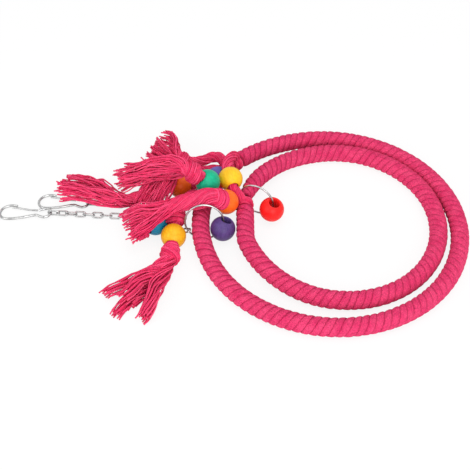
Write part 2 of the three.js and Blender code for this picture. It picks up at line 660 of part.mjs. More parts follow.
const loopPullDeg = 212;
const loopPull = outerLoop.at(loopPullDeg);
const firstChain = addChain('first_chain', loopPull, [
  [-19, -3.6, 5.2], [-27, 2.6, 3.5], [-37, 9.5, 3.1],
  [-49, 14.5, chainRestZ], [-67, 16.8, chainRestZ], [-87, 17.8, chainRestZ], [-107, 19.1, chainRestZ],
  [-123, 20, risingLinkZ], [-141, 21.1, lastLinkZ], [-171, 22.8, lastLinkZ],
], 17, outerLoop.along(loopPullDeg));
const secondChain = addChain('second_chain', jumpPull, [
  [-14, 38.4, 9], [-23, 35.4, 5], [-34, 33.6, 3.2],
  [-57, 32.6, chainRestZ], [-75, 32.8, chainRestZ], [-93, 33.8, risingLinkZ],
  [-109, 35.2, lastLinkZ], [-133, 37.2, lastLinkZ],
], 13, vec(0, 0, 1));

// A snap hook: one bent wire with a nose, a long loop, a waist and an eye
const hookOutline = [
  [-29.5, 8.9], [-33, 9.6], [-38, 9.2], [-43, 6.4], [-45.6, 1], [-44.4, -5], [-40.5, -8.4], [-34, -9],
  [-22, -7.2], [-11.5, -4.2], [-7.5, -3.6], [-3.5, -5.2], [0.5, -6.4], [4.6, -5], [6.8, -1.2], [6.2, 3],
  [2.6, 5.4], [-2, 4.8], [-6, 3.4],
];
const gateOutline = [[-7.1, 3], [-14, 3.4], [-22, 4.8], [-29, 6.2], [-34.5, 6.9]];

function wireAlong(outline, radius, steps) {
  const path = new THREE.CatmullRomCurve3(outline.map(([x, y]) => vec(x, y, 0)), false, 'centripetal');
  const section = new THREE.Shape();
  for (let corner = 0; corner < wireSides; corner += 1) {
    const turn = (2 * Math.PI * corner) / wireSides;
    const x = radius * Math.cos(turn);
    const y = radius * Math.sin(turn);
    if (corner) section.lineTo(x, y);
    else section.moveTo(x, y);
  }
  return new THREE.ExtrudeGeometry(section, { steps, extrudePath: path });
}

const hookEyeReach = 6.8;

// A hook with its gate, hung by its eye on the last link of a chain, its nose on the floor
function addHook(name, chainEnd) {
  const hook = new THREE.Group();
  const heading = chainEnd.along.clone().setZ(0).normalize();
  const inset = hookEyeReach - hookWireRadius - linkWireRadius - wireSlack;
  const eye = chainEnd.point.clone().addScaledVector(heading, inset);
  const lengthwise = heading.clone().negate();
  const across = vec(0, 0, 1).cross(lengthwise);
  const pitch = new THREE.Quaternion().setFromAxisAngle(vec(0, 1, 0), rad(-hookPitchDeg));
  hook.quaternion.setFromRotationMatrix(new THREE.Matrix4().makeBasis(lengthwise, across, vec(0, 0, 1)));
  hook.quaternion.multiply(pitch);
  hook.position.set(eye.x, eye.y, hookEyeZ);
  addMesh(`${name}_hook`, wireAlong(hookOutline, hookWireRadius, hookSteps), brightSteel, hook);
  addMesh(`${name}_hook_gate`, wireAlong(gateOutline, gateWireRadius, gateSteps), brightSteel, hook);
  toy.add(hook);
}

addHook('first', firstChain);
addHook('second', secondChain);

// The finished toy stands on the floor about the middle of its own box
toy.updateMatrixWorld(true);
const box = new THREE.Box3().setFromObject(toy, true);
const middle = box.getCenter(vec(0, 0, 0));
toy.position.set(-middle.x, -middle.y, -box.min.z);

export default toy;
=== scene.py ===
import math

import bpy
import numpy as np
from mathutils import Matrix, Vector


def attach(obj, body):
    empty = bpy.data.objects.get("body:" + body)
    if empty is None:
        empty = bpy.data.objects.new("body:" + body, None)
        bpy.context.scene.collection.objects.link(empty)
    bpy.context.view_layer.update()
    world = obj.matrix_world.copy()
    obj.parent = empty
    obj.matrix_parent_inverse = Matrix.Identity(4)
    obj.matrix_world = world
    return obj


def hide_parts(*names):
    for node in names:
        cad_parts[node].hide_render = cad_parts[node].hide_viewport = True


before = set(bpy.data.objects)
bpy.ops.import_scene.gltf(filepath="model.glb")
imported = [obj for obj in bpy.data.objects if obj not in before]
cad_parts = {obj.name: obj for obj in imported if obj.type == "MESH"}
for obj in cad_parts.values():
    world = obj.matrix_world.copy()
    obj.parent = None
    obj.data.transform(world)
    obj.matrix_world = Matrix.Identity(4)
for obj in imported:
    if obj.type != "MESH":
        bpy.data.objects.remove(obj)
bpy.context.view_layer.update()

mm = 0.001
ringToRow = np.array([99.2372, -0.0052, 0.0])  # from the outer ring's centre to the row's origin, in mm


def toRow(points):
    return (np.asarray(points, float) + ringToRow) * mm


def hexColor(code):
    channels = [int(code[i:i + 2], 16) / 255 for i in (1, 3, 5)]
    linear = [c / 12.92 if c <= 0.04045 else ((c + 0.055) / 1.055) ** 2.4 for c in channels]
    return (*linear, 1.0)


# one node with its settings; an input is a value to set, a socket to link, or a node whose first output is linked
def addNode(tree, kind, inputs=None, ramp=None, **settings):
    node = tree.nodes.new(kind)
    for key, value in settings.items():
        setattr(node, key, value)
    for key, value in (inputs or {}).items():
        source = value.outputs[0] if isinstance(value, bpy.types.Node) else value
        if isinstance(source, bpy.types.NodeSocket):
            tree.links.new(source, node.inputs[key])
        else:
            node.inputs[key].default_value = source
    if ramp:  # two places on a colour ramp, each with its colour
        for stop, (place, code) in zip(node.color_ramp.elements, ramp.items()):
            stop.position = place
            stop.color = hexColor(code)
    return node


# camera at the photograph's angle: 47 degrees up, square frame, places in mm
viewSizes = {
    "target": (4.54, -14.2, 9.0),
    "position": (4.54, -667.6, 709.6),
    "lens": 74.0,
    "sensor": 36.0,
    "clip": (0.01, 20.0),  # metres
}


def makeCamera(sizes):
    data = bpy.data.cameras.new("photoCamera")
    data.lens = sizes["lens"]
    data.sensor_width = sizes["sensor"]
    data.clip_start, data.clip_end = sizes["clip"]
    camera = bpy.data.objects.new("photoCamera", data)
    place = Vector(sizes["position"]) * mm
    aim = Vector(sizes["target"]) * mm - place
    camera.location = place
    camera.rotation_euler = aim.to_track_quat("-Z", "Y").to_euler()
    bpy.context.collection.objects.link(camera)
    bpy.context.scene.camera = camera


makeCamera(viewSizes)
print("camera set")


# Materials

def newMaterial(name):
    material = bpy.data.materials.new(name)
    material.use_nodes = True
    material.node_tree.nodes.clear()
    return material, material.node_tree


# dyes of the cottons; the crease and inside-yarn colours are painted shade, darker tones laid where shade falls between
# the bands and inside a yarn bundle
cottonDyesAndShades = {
    "bandDark": "#DA3466", "bandLight": "#EA4876", "crease": "#AE1040",
    "yarnDark": "#DE285A", "yarnLight": "#FA5682", "insideYarnShade": "#C21C4A",
}
# any cotton: little shine, and a soft fuzz that shows at grazing angles
cottonFibre = {
    "IOR": 1.46, "Specular IOR Level": 0.08,
    "Sheen Weight": 0.06, "Sheen Roughness": 0.5, "Sheen Tint": hexColor("#FF9DB8"),
}


# dyed cotton wound in flat knitted bands: matt and pebbly, with thin dark lines between the bands, from the pressed-in
# creases and from painted shade
def makeWoundCotton(dyesAndShades):
    material, tree = newMaterial("woundDyedCotton")
    creaseShadeMask = addNode(tree, "ShaderNodeAttribute", attribute_name="creaseShadeMask")
    band = addNode(tree, "ShaderNodeAttribute", attribute_name="bandPlace")  # mm round the rope and across a band
    place = addNode(tree, "ShaderNodeTexCoord")
    # patches where the dye took a little more or less, about 9 mm across
    patches = addNode(tree, "ShaderNodeTexNoise", {"Vector": place.outputs["Object"], "Scale": 110.0, "Detail": 3.0})
    ramp = {0.3: dyesAndShades["bandDark"], 0.7: dyesAndShades["bandLight"]}
    tones = addNode(tree, "ShaderNodeValToRGB", {"Fac": patches}, ramp)
    # loops of the knit, 0.9 mm in the real one, drawn 1.5 mm wide so that they show in the render
    loops = addNode(tree, "ShaderNodeTexVoronoi", {
        "Vector": band.outputs["Vector"], "Scale": 1 / 1.5, "Randomness": 0.8,
    })
    # tufts of fibre, drawn 1.3 mm wide for the same reason
    fibres = addNode(tree, "ShaderNodeTexNoise", {
        "Vector": band.outputs["Vector"], "Scale": 0.75, "Detail": 4.0, "Roughness": 0.75,
    })
    flecks = addNode(tree, "ShaderNodeMapRange", {
        "Value": fibres, "From Min": 0.3, "From Max": 0.7, "To Min": 0.72, "To Max": 1.24,
    })
    fleckTone = addNode(tree, "ShaderNodeVectorMath", {0: tones, "Scale": flecks}, operation="SCALE")
    # painted shade: the gaps between loops are drawn darker, standing in for the shade in them
    gapShade = addNode(tree, "ShaderNodeMapRange", {
        "Value": loops.outputs["Distance"], "From Min": 0.3, "From Max": 0.75, "To Min": 1.04, "To Max": 0.8,
    })
    knitTone = addNode(tree, "ShaderNodeVectorMath", {0: fleckTone, "Scale": gapShade}, operation="SCALE")
    # painted shade: the crease between two bands is drawn towards a deeper pink, standing in for the shade that falls
    # there
    crease = addNode(tree, "ShaderNodeMapRange", {
        "Value": creaseShadeMask.outputs["Fac"], "From Min": 0.45, "From Max": 0.97, "To Min": 0.0, "To Max": 0.6,
    })
    creaseShaded = addNode(tree, "ShaderNodeMix", {0: crease, 6: knitTone, 7: hexColor(dyesAndShades["crease"])}, data_type="RGBA")
    rough = addNode(tree, "ShaderNodeMath", {
        0: loops.outputs["Distance"], 1: -0.8, 2: fibres,
    }, operation="MULTIPLY_ADD")
    bump = addNode(tree, "ShaderNodeBump", {"Height": rough, "Strength": 0.85, "Distance": 0.0009})
    shader = addNode(tree, "ShaderNodeBsdfPrincipled", {
        **cottonFibre, "Base Color": creaseShaded.outputs[2], "Roughness": 0.95, "Normal": bump,
    })
    addNode(tree, "ShaderNodeOutputMaterial", {"Surface": shader})
    return material


# dyed cotton yarn, spun of two plies: matt threads that differ a little in tone, with a fine twist, and painted shade
# on the yarns inside a bundle
def makeYarnCotton(dyesAndShades):
    material, tree = newMaterial("spunDyedCottonYarn")
    yarn = addNode(tree, "ShaderNodeAttribute", attribute_name="yarn")
    along = addNode(tree, "ShaderNodeAttribute", attribute_name="along")
    around = addNode(tree, "ShaderNodeAttribute", attribute_name="around")
    shadeDepth = addNode(tree, "ShaderNodeAttribute", attribute_name="shadeDepth")
    place = addNode(tree, "ShaderNodeTexCoord")
    # each yarn has its own tone
    chance = addNode(tree, "ShaderNodeTexWhiteNoise", {"W": yarn.outputs["Fac"]}, noise_dimensions="1D")
    ramp = {0.0: dyesAndShades["yarnDark"], 1.0: dyesAndShades["yarnLight"]}
    tones = addNode(tree, "ShaderNodeValToRGB", {"Fac": chance.outputs["Value"]}, ramp)
    # flecks of dye about 4 mm across
    patches = addNode(tree, "ShaderNodeTexNoise", {"Vector": place.outputs["Object"], "Scale": 260.0, "Detail": 2.0})
    flecks = addNode(tree, "ShaderNodeMapRange", {
        "Value": patches, "From Min": 0.3, "From Max": 0.7, "To Min": 0.84, "To Max": 1.1,
    })
    fleckTone = addNode(tree, "ShaderNodeVectorMath", {0: tones, "Scale": flecks}, operation="SCALE")
    # painted shade: yarns inside a bundle are drawn darker, standing in for the shadow that gathers there
    inside = addNode(tree, "ShaderNodeMapRange", {
        "Value": shadeDepth.outputs["Fac"], "From Min": 0.35, "From Max": 0.85, "To Min": 0.7, "To Max": 0.0,
    })
    shaded = addNode(tree, "ShaderNodeMix", {
        0: inside, 6: fleckTone, 7: hexColor(dyesAndShades["insideYarnShade"]),
    }, data_type="RGBA")
    # the two plies turn once in 3 mm
    turn = addNode(tree, "ShaderNodeMath", {
        0: along.outputs["Fac"], 1: 1000.0 / 3.0, 2: around.outputs["Fac"],
    }, operation="MULTIPLY_ADD")
    angle = addNode(tree, "ShaderNodeMath", {0: turn, 1: 4 * math.pi}, operation="MULTIPLY")
    plies = addNode(tree, "ShaderNodeMath", {0: angle}, operation="SINE")
    bump = addNode(tree, "ShaderNodeBump", {"Height": plies, "Strength": 0.5, "Distance": 0.0003})
    shader = addNode(tree, "ShaderNodeBsdfPrincipled", {
        **cottonFibre, "Base Color": shaded.outputs[2], "Roughness": 0.92, "Normal": bump,
    })
    addNode(tree, "ShaderNodeOutputMaterial", {"Surface": shader})
    return material


# turned maple ball, dyed and waxed: even colour with faint end-grain rings and a soft highlight
def makeDyedWood(name, light, dark):
    material, tree = newMaterial(name)
    local = addNode(tree, "ShaderNodeAttribute", attribute_name="beadPlace")  # mm from the bead's middle
    # grain 1.3 mm wide that runs 13 mm along the bead's hole
    stretch = addNode(tree, "ShaderNodeMapping", {"Vector": local.outputs["Vector"], "Scale": (0.75, 0.75, 0.075)})
    grain = addNode(tree, "ShaderNodeTexNoise", {"Vector": stretch, "Scale": 1.0, "Detail": 4.0, "Roughness": 0.6})
    # clouds where the dye soaked in, about 8 mm across
    cloud = addNode(tree, "ShaderNodeTexNoise", {"Vector": local.outputs["Vector"], "Scale": 0.12, "Detail": 2.0})
    both = addNode(tree, "ShaderNodeMath", {0: cloud, 1: 0.5, 2: grain}, operation="MULTIPLY_ADD")
    tones = addNode(tree, "ShaderNodeValToRGB", {"Fac": both}, {0.45: dark, 0.85: light})
    gloss = addNode(tree, "ShaderNodeMapRange", {
        "Value": grain, "From Min": 0.3, "From Max": 0.7, "To Min": 0.36, "To Max": 0.5,
    })
    bump = addNode(tree, "ShaderNodeBump", {"Height": grain, "Strength": 0.25, "Distance": 0.0002})
    shader = addNode(tree, "ShaderNodeBsdfPrincipled", {
        "Base Color": tones, "Roughness": gloss, "IOR": 1.5, "Specular IOR Level": 0.22,
        "Coat Weight": 0.04, "Coat Roughness": 0.3, "Normal": bump,
    })
    addNode(tree, "ShaderNodeOutputMaterial", {"Surface": shader})
    return material


# drawn steel wire: bright plating with faint drawing marks, or the duller bare core
def makeWireSteel(name, light, dark, roughness):
    material, tree = newMaterial(name)
    place = addNode(tree, "ShaderNodeTexCoord")
    # clouding of the plating, about 4 mm across
    cloud = addNode(tree, "ShaderNodeTexNoise", {"Vector": place.outputs["Object"], "Scale": 250.0, "Detail": 3.0})
    tones = addNode(tree, "ShaderNodeValToRGB", {"Fac": cloud}, {0.35: dark, 0.65: light})
    gloss = addNode(tree, "ShaderNodeMapRange", {
        "Value": cloud, "From Min": 0.3, "From Max": 0.7, "To Min": roughness, "To Max": roughness + 0.12,
    })
    # marks of the drawing die, 0.8 mm apart
    marks = addNode(tree, "ShaderNodeTexNoise", {"Vector": place.outputs["Object"], "Scale": 1250.0, "Detail": 2.0})
    bump = addNode(tree, "ShaderNodeBump", {"Height": marks, "Strength": 0.12, "Distance": 0.0001})
    shader = addNode(tree, "ShaderNodeBsdfPrincipled", {
        "Base Color": tones, "Metallic": 1.0, "Roughness": gloss, "Normal": bump,
    })
    addNode(tree, "ShaderNodeOutputMaterial", {"Surface": shader})
    return material


woundCotton = makeWoundCotton(cottonDyesAndShades)
yarnCotton = makeYarnCotton(cottonDyesAndShades)
brightWire = makeWireSteel("nickelPlatedWire", "#C6C6C5", "#A2A2A3", 0.26)
coreWire = makeWireSteel("drawnSteelCore", "#8F9093", "#6C6D71", 0.36)
dyedWood = {
    "red": makeDyedWood("redDyedMaple", "#F21E1C", "#E01618"),
    "purple": makeDyedWood("purpleDyedMaple", "#57407C", "#402D64"),
    "yellow": makeDyedWood("yellowDyedMaple", "#F8C324", "#ECA816"),
    # painted shade: a darker copy of the yellow dye for the low yellow bead, standing in for the shade that falls on it
    "deepYellow": makeDyedWood("yellowDyedMapleShaded", "#EEB21C", "#DC9810"),
    "orange": makeDyedWood("orangeDyedMaple", "#FF6E1E", "#FA5A14"),
    "teal": makeDyedWood("tealDyedMaple", "#10B88A", "#0C9C76"),
    "blue": makeDyedWood("blueDyedMaple", "#148CB2", "#0F7094"),
    "violet": makeDyedWood("violetDyedMaple", "#6C64B4", "#544C9C"),
}
print("materials made")


# Geometry Nodes trees

def newTree(name, inputs):
    tree = bpy.data.node_groups.new(name, "GeometryNodeTree")
    tree.interface.new_socket("Geometry", in_out="INPUT", socket_type="NodeSocketGeometry")
    for label, kind in inputs.items():
        tree.interface.new_socket(label, in_out="INPUT", socket_type="NodeSocket" + kind)
    tree.interface.new_socket("Geometry", in_out="OUTPUT", socket_type="NodeSocketGeometry")
    return tree, tree.nodes.new("NodeGroupInput").outputs


# the last nodes of every tree
def endTree(tree, geometry, material):
    smooth = addNode(tree, "GeometryNodeSetShadeSmooth", {"Geometry": geometry})
    real = addNode(tree, "GeometryNodeRealizeInstances", {"Geometry": smooth})
    painted = addNode(tree, "GeometryNodeSetMaterial", {"Geometry": real, "Material": material})
    addNode(tree, "NodeGroupOutput", {"Geometry": painted})


# what the rope's tree draws besides its sizes
ropeRelief = {
    "wanderScale": 42.0,   # per metre: the bands wander over about 24 mm
    "lumpScale": 120.0,    # per metre: lumps about 8 mm apart
    "lumpHeight": 0.0005,  # metres
    "floorGap": 0.00005,   # metres
    "girth": 59.0,         # mm round the rope, for the knit
    "bandWidth": 7.5,      # mm
    "bandShift": 3.7,      # sets the knit of one band off from the next one's
}


# cotton bands wound in a helix round a line: a tube pressed in where two bands meet
def makeRopeTree(relief):
    tree, given = newTree("woundRope", {
        "ropeRadius": "Float", "ropeSides": "Int", "bandPitch": "Float", "bandStarts": "Float", "creaseDepth": "Float",
        "creaseSharpness": "Float", "bandLap": "Float", "bandWander": "Float", "endRound": "Float",
        "material": "Material",
    })
    line = addNode(tree, "GeometryNodeMeshToCurve", {"Mesh": given["Geometry"]})
    level = addNode(tree, "GeometryNodeSetCurveNormal", {"Curve": line}, mode="Z_UP")
    where = addNode(tree, "GeometryNodeInputPosition")
    axis = addNode(
        tree, "GeometryNodeStoreNamedAttribute", {"Geometry": level, "Name": "axisPoint", "Value": where},
        data_type="FLOAT_VECTOR",
    )
    circle = addNode(
        tree, "GeometryNodeCurvePrimitiveCircle", {"Resolution": given["ropeSides"], "Radius": given["ropeRadius"]},
    )
    spin = addNode(tree, "GeometryNodeTransform", {"Geometry": circle, "Rotation": (0.0, 0.0, math.pi / 2)})
    factor = addNode(tree, "GeometryNodeSplineParameter").outputs["Factor"]
    section = addNode(tree, "GeometryNodeStoreNamedAttribute", {"Geometry": spin, "Name": "around", "Value": factor})
    tube = addNode(tree, "GeometryNodeCurveToMesh", {"Curve": axis, "Profile Curve": section, "Fill Caps": True})
    along = addNode(tree, "GeometryNodeInputNamedAttribute", {"Name": "along"})
    around = addNode(tree, "GeometryNodeInputNamedAttribute", {"Name": "around"})
    endShare = addNode(tree, "GeometryNodeInputNamedAttribute", {"Name": "endShare"})
    centre = addNode(tree, "GeometryNodeInputNamedAttribute", {"Name": "axisPoint"}, data_type="FLOAT_VECTOR")
    # which band a point lies in, and how far across it
    wander = addNode(tree, "ShaderNodeTexNoise", {"Vector": centre, "Scale": relief["wanderScale"], "Detail": 1.0})
    strayed = addNode(tree, "ShaderNodeMath", {0: wander, 1: given["bandWander"]}, operation="MULTIPLY")
    turns = addNode(tree, "ShaderNodeMath", {0: along, 1: given["bandPitch"]}, operation="DIVIDE")
    turned = addNode(tree, "ShaderNodeMath", {0: around, 1: given["bandStarts"], 2: turns}, operation="MULTIPLY_ADD")
    phase = addNode(tree, "ShaderNodeMath", {0: turned, 1: strayed}, operation="ADD")
    across = addNode(tree, "ShaderNodeMath", {0: phase}, operation="FRACT")
    offMiddle = addNode(tree, "ShaderNodeMath", {0: across, 1: 2.0, 2: -1.0}, operation="MULTIPLY_ADD")
    away = addNode(tree, "ShaderNodeMath", {0: offMiddle}, operation="ABSOLUTE")
    crease = addNode(tree, "ShaderNodeMath", {0: away, 1: given["creaseSharpness"]}, operation="POWER")
    # how far the skin moves out or in
    pressed = addNode(tree, "ShaderNodeMath", {0: crease, 1: given["creaseDepth"]}, operation="MULTIPLY")
    lapped = addNode(tree, "ShaderNodeMath", {0: offMiddle, 1: given["bandLap"]}, operation="MULTIPLY")
    rise = addNode(tree, "ShaderNodeMath", {0: lapped, 1: pressed}, operation="SUBTRACT")
    lumps = addNode(tree, "ShaderNodeTexNoise", {"Vector": where, "Scale": relief["lumpScale"], "Detail": 1.0})
    lumpy = addNode(
        tree, "ShaderNodeMath", {0: lumps, 1: relief["lumpHeight"], 2: -relief["lumpHeight"] / 2},
        operation="MULTIPLY_ADD",
    )
    uneven = addNode(tree, "ShaderNodeMath", {0: rise, 1: lumpy}, operation="ADD")
    rounded = addNode(tree, "ShaderNodeMath", {0: endShare, 1: given["endRound"]}, operation="MULTIPLY")
    offset = addNode(tree, "ShaderNodeMath", {0: uneven, 1: rounded}, operation="SUBTRACT")
    outward = addNode(tree, "ShaderNodeVectorMath", {0: where, 1: centre}, operation="SUBTRACT")
    radial = addNode(tree, "ShaderNodeVectorMath", {0: outward}, operation="NORMALIZE")
    shift = addNode(tree, "ShaderNodeVectorMath", {0: radial, "Scale": offset}, operation="SCALE")
    moved = addNode(tree, "ShaderNodeVectorMath", {0: where, 1: shift}, operation="ADD")
    # the rope lies flat on the floor where it touches it
    parts = addNode(tree, "ShaderNodeSeparateXYZ", {0: moved}).outputs
    floored = addNode(tree, "ShaderNodeMath", {0: parts["Z"], 1: relief["floorGap"]}, operation="MAXIMUM")
    placed = addNode(tree, "ShaderNodeCombineXYZ", {0: parts["X"], 1: parts["Y"], 2: floored})
    # where a point lies on its band, in mm, for the knit
    bandWidth = addNode(tree, "ShaderNodeMath", {0: across, 1: relief["bandWidth"]}, operation="MULTIPLY")
    bandRun = addNode(tree, "ShaderNodeMath", {0: around, 1: relief["girth"]}, operation="MULTIPLY")
    bandCell = addNode(tree, "ShaderNodeMath", {0: phase, 1: relief["bandShift"]}, operation="MULTIPLY")
    bandPlace = addNode(tree, "ShaderNodeCombineXYZ", {0: bandRun, 1: bandWidth, 2: bandCell})
    # the crease profile, kept as a mask for the painted shade in the creases
    marked = addNode(tree, "GeometryNodeStoreNamedAttribute", {"Geometry": tube, "Name": "creaseShadeMask", "Value": crease})
    banded = addNode(
        tree, "GeometryNodeStoreNamedAttribute",
        {"Geometry": marked, "Name": "bandPlace", "Value": bandPlace}, data_type="FLOAT_VECTOR",
    )
    wound = addNode(tree, "GeometryNodeSetPosition", {"Geometry": banded, "Position": placed})
    endTree(tree, wound, given["material"])
    return tree


# what the yarns' tree draws besides its sizes
yarnRelief = {
    "clumpStep": 0.618,  # golden share, which spreads clumps evenly over the width
    "seedStep": 0.37, "seedStart": 0.31,  # where the first clump lies
    "yarnLane": 13.7, "clumpLane": 5.3,   # keep the bends of neighbours apart
    "bendScale": 22.0,   # per metre: a clump bends over about 45 mm
    "wildFrom": 0.88, "wildMost": 3.0, "wildSeed": 7,  # the last eighth of the yarns strays up to this much further
    # painted shade: how lightly loose yarns are shaded, below
    "looseLight": 0.8,   # light on loose yarns, as a share of that on the outer ones
    "yarnShort": 0.5, "clumpShort": 0.6,  # shares of endSpread by which they end early
}


# many yarns side by side along a line, twisted in a cord and loose and clumped where it frays
def makeYarnTree(relief):
    tree, given = newTree("yarnBundle", {
        "yarns": "Int", "yarnRadius": "Float", "yarnSides": "Int", "clumps": "Float", "clumpShare": "Float",
        "clumpRadius": "Float", "clumpStray": "Float", "looseness": "Float", "waviness": "Float",
        "waveScale": "Float", "endSpread": "Float", "seed": "Int", "material": "Material",
    })
    golden = math.pi * (3 - math.sqrt(5))
    line = addNode(tree, "GeometryNodeMeshToCurve", {"Mesh": given["Geometry"]})
    many = addNode(
        tree, "GeometryNodeDuplicateElements", {"Geometry": line, "Amount": given["yarns"]},
        domain="SPLINE",
    )
    counted = addNode(
        tree, "GeometryNodeStoreNamedAttribute",
        {"Geometry": many, "Name": "yarn", "Value": many.outputs[1]},
    )
    read = {}
    for label in ("yarn", "along", "tipGap", "halfWide", "halfHigh", "fray", "turn"):
        read[label] = addNode(tree, "GeometryNodeInputNamedAttribute", {"Name": label})
    for label in ("side", "rise"):
        read[label] = addNode(tree, "GeometryNodeInputNamedAttribute", {"Name": label}, data_type="FLOAT_VECTOR")
    where = addNode(tree, "GeometryNodeInputPosition")
    # a place in the bundle for each yarn, counted from the middle and spread evenly over its section
    rank = addNode(tree, "ShaderNodeMath", {0: read["yarn"], 1: 0.5}, operation="ADD")
    share = addNode(tree, "ShaderNodeMath", {0: rank, 1: given["yarns"]}, operation="DIVIDE")
    rho = addNode(tree, "ShaderNodeMath", {0: share, 1: 0.5}, operation="POWER")
    theta = addNode(tree, "ShaderNodeMath", {0: read["yarn"], 1: golden, 2: read["turn"]}, operation="MULTIPLY_ADD")
    # and one for its clump, spread over the width of the fray
    clump = addNode(tree, "ShaderNodeMath", {0: read["yarn"], 1: given["clumps"]}, operation="MODULO")
    clumpKey = addNode(
        tree, "ShaderNodeMath", {0: given["seed"], 1: relief["seedStep"], 2: relief["seedStart"]},
        operation="MULTIPLY_ADD",
    )
    clumpStep = addNode(
        tree, "ShaderNodeMath", {0: clump, 1: relief["clumpStep"], 2: clumpKey}, operation="MULTIPLY_ADD",
    )
    clumpPart = addNode(tree, "ShaderNodeMath", {0: clumpStep}, operation="FRACT")
    clumpWide = addNode(tree, "ShaderNodeMath", {0: clumpPart, 1: 2.0, 2: -1.0}, operation="MULTIPLY_ADD")
    clumpTheta = addNode(tree, "ShaderNodeMath", {0: clump, 1: golden, 2: given["seed"]}, operation="MULTIPLY_ADD")
    clumpHigh = addNode(tree, "ShaderNodeMath", {0: clumpTheta}, operation="SINE")
    pull = addNode(tree, "ShaderNodeMath", {0: read["fray"], 1: given["clumpShare"]}, operation="MULTIPLY")
    spots = []
    for trig, half, clumpSpot in (("COSINE", "halfWide", clumpWide), ("SINE", "halfHigh", clumpHigh)):
        ownAngle = addNode(tree, "ShaderNodeMath", {0: theta}, operation=trig)
        own = addNode(tree, "ShaderNodeMath", {0: ownAngle, 1: rho}, operation="MULTIPLY")
        alone = addNode(tree, "ShaderNodeMath", {0: own, 1: read[half]}, operation="MULTIPLY")
        within = addNode(tree, "ShaderNodeMath", {0: own, 1: given["clumpRadius"]}, operation="MULTIPLY")
        shared = addNode(tree, "ShaderNodeMath", {0: clumpSpot, 1: read[half], 2: within}, operation="MULTIPLY_ADD")
        apart = addNode(tree, "ShaderNodeMath", {0: shared, 1: alone}, operation="SUBTRACT")
        pulled = addNode(tree, "ShaderNodeMath", {0: apart, 1: pull, 2: alone}, operation="MULTIPLY_ADD")
        spots.append(pulled)
    wide, high = spots
    sideways = addNode(tree, "ShaderNodeVectorMath", {0: read["side"], "Scale": wide}, operation="SCALE")
    upwards = addNode(tree, "ShaderNodeVectorMath", {0: read["rise"], "Scale": high}, operation="SCALE")
    spread = addNode(tree, "ShaderNodeVectorMath", {0: sideways, 1: upwards}, operation="ADD")
    # each yarn strays in its own way, more where it is frayed
    run = addNode(tree, "ShaderNodeMath", {0: read["along"], 1: given["waveScale"]}, operation="MULTIPLY")
    lane = addNode(tree, "ShaderNodeMath", {0: read["yarn"], 1: relief["yarnLane"]}, operation="MULTIPLY")
    spot = addNode(tree, "ShaderNodeCombineXYZ", {0: run, 1: lane, 2: given["seed"]})
    noise = addNode(tree, "ShaderNodeTexNoise", {"Vector": spot, "Scale": 1.0, "Detail": 2.5, "Roughness": 0.45})
    centred = addNode(tree, "ShaderNodeVectorMath", {0: noise.outputs[1], 1: (0.5, 0.5, 0.5)}, operation="SUBTRACT")
    # one yarn in eight flies away from the rest
    luck = addNode(
        tree, "FunctionNodeRandomValue", {2: 0.0, 3: 1.0, "ID": read["yarn"], "Seed": relief["wildSeed"]},
    ).outputs[1]
    wild = addNode(
        tree, "ShaderNodeMapRange",
        {"Value": luck, "From Min": relief["wildFrom"], "From Max": 1.0, "To Min": 1.0, "To Max": relief["wildMost"]},
    )
    loose = addNode(tree, "ShaderNodeMath", {0: wild, 1: given["looseness"]}, operation="MULTIPLY")
    amount = addNode(
        tree, "ShaderNodeMath", {0: read["fray"], 1: loose, 2: given["waviness"]}, operation="MULTIPLY_ADD",
    )
    stray = addNode(tree, "ShaderNodeVectorMath", {0: centred, "Scale": amount}, operation="SCALE")
    # and each clump bends as one
    bendRun = addNode(tree, "ShaderNodeMath", {0: read["along"], 1: relief["bendScale"]}, operation="MULTIPLY")
    bendLane = addNode(tree, "ShaderNodeMath", {0: clump, 1: relief["clumpLane"]}, operation="MULTIPLY")
    bendSpot = addNode(tree, "ShaderNodeCombineXYZ", {0: bendRun, 1: bendLane, 2: given["seed"]})
    bendNoise = addNode(tree, "ShaderNodeTexNoise", {"Vector": bendSpot, "Scale": 1.0, "Detail": 0.0})
    bendWay = addNode(
        tree, "ShaderNodeVectorMath", {0: bendNoise.outputs[1], 1: (0.5, 0.5, 0.5)}, operation="SUBTRACT",
    )
    bendShare = addNode(tree, "ShaderNodeMath", {0: read["halfWide"], 1: given["clumpStray"]}, operation="MULTIPLY")
    bendSize = addNode(tree, "ShaderNodeMath", {0: bendShare, 1: read["fray"]}, operation="MULTIPLY")
    bend = addNode(tree, "ShaderNodeVectorMath", {0: bendWay, "Scale": bendSize}, operation="SCALE")
    bent = addNode(tree, "ShaderNodeVectorMath", {0: spread, 1: bend}, operation="ADD")
    moved = addNode(tree, "ShaderNodeVectorMath", {0: bent, 1: stray}, operation="ADD")
    goal = addNode(tree, "ShaderNodeVectorMath", {0: where, 1: moved}, operation="ADD")
    # no yarn sinks into the floor
    parts = addNode(tree, "ShaderNodeSeparateXYZ", {0: goal}).outputs
    floored = addNode(tree, "ShaderNodeMath", {0: parts["Z"], 1: given["yarnRadius"]}, operation="MAXIMUM")
    placed = addNode(tree, "ShaderNodeCombineXYZ", {0: parts["X"], 1: parts["Y"], 2: floored})
    # the share that sets the painted shade: loose yarns are drawn nearly as light as the outer ones
    bare = addNode(tree, "ShaderNodeMath", {0: read["fray"], 1: relief["looseLight"]}, operation="MULTIPLY")
    shown = addNode(tree, "ShaderNodeMath", {0: rho, 1: bare}, operation="MAXIMUM")
    deep = addNode(tree, "GeometryNodeStoreNamedAttribute", {"Geometry": counted, "Name": "shadeDepth", "Value": shown})
    laid = addNode(tree, "GeometryNodeSetPosition", {"Geometry": deep, "Position": placed})
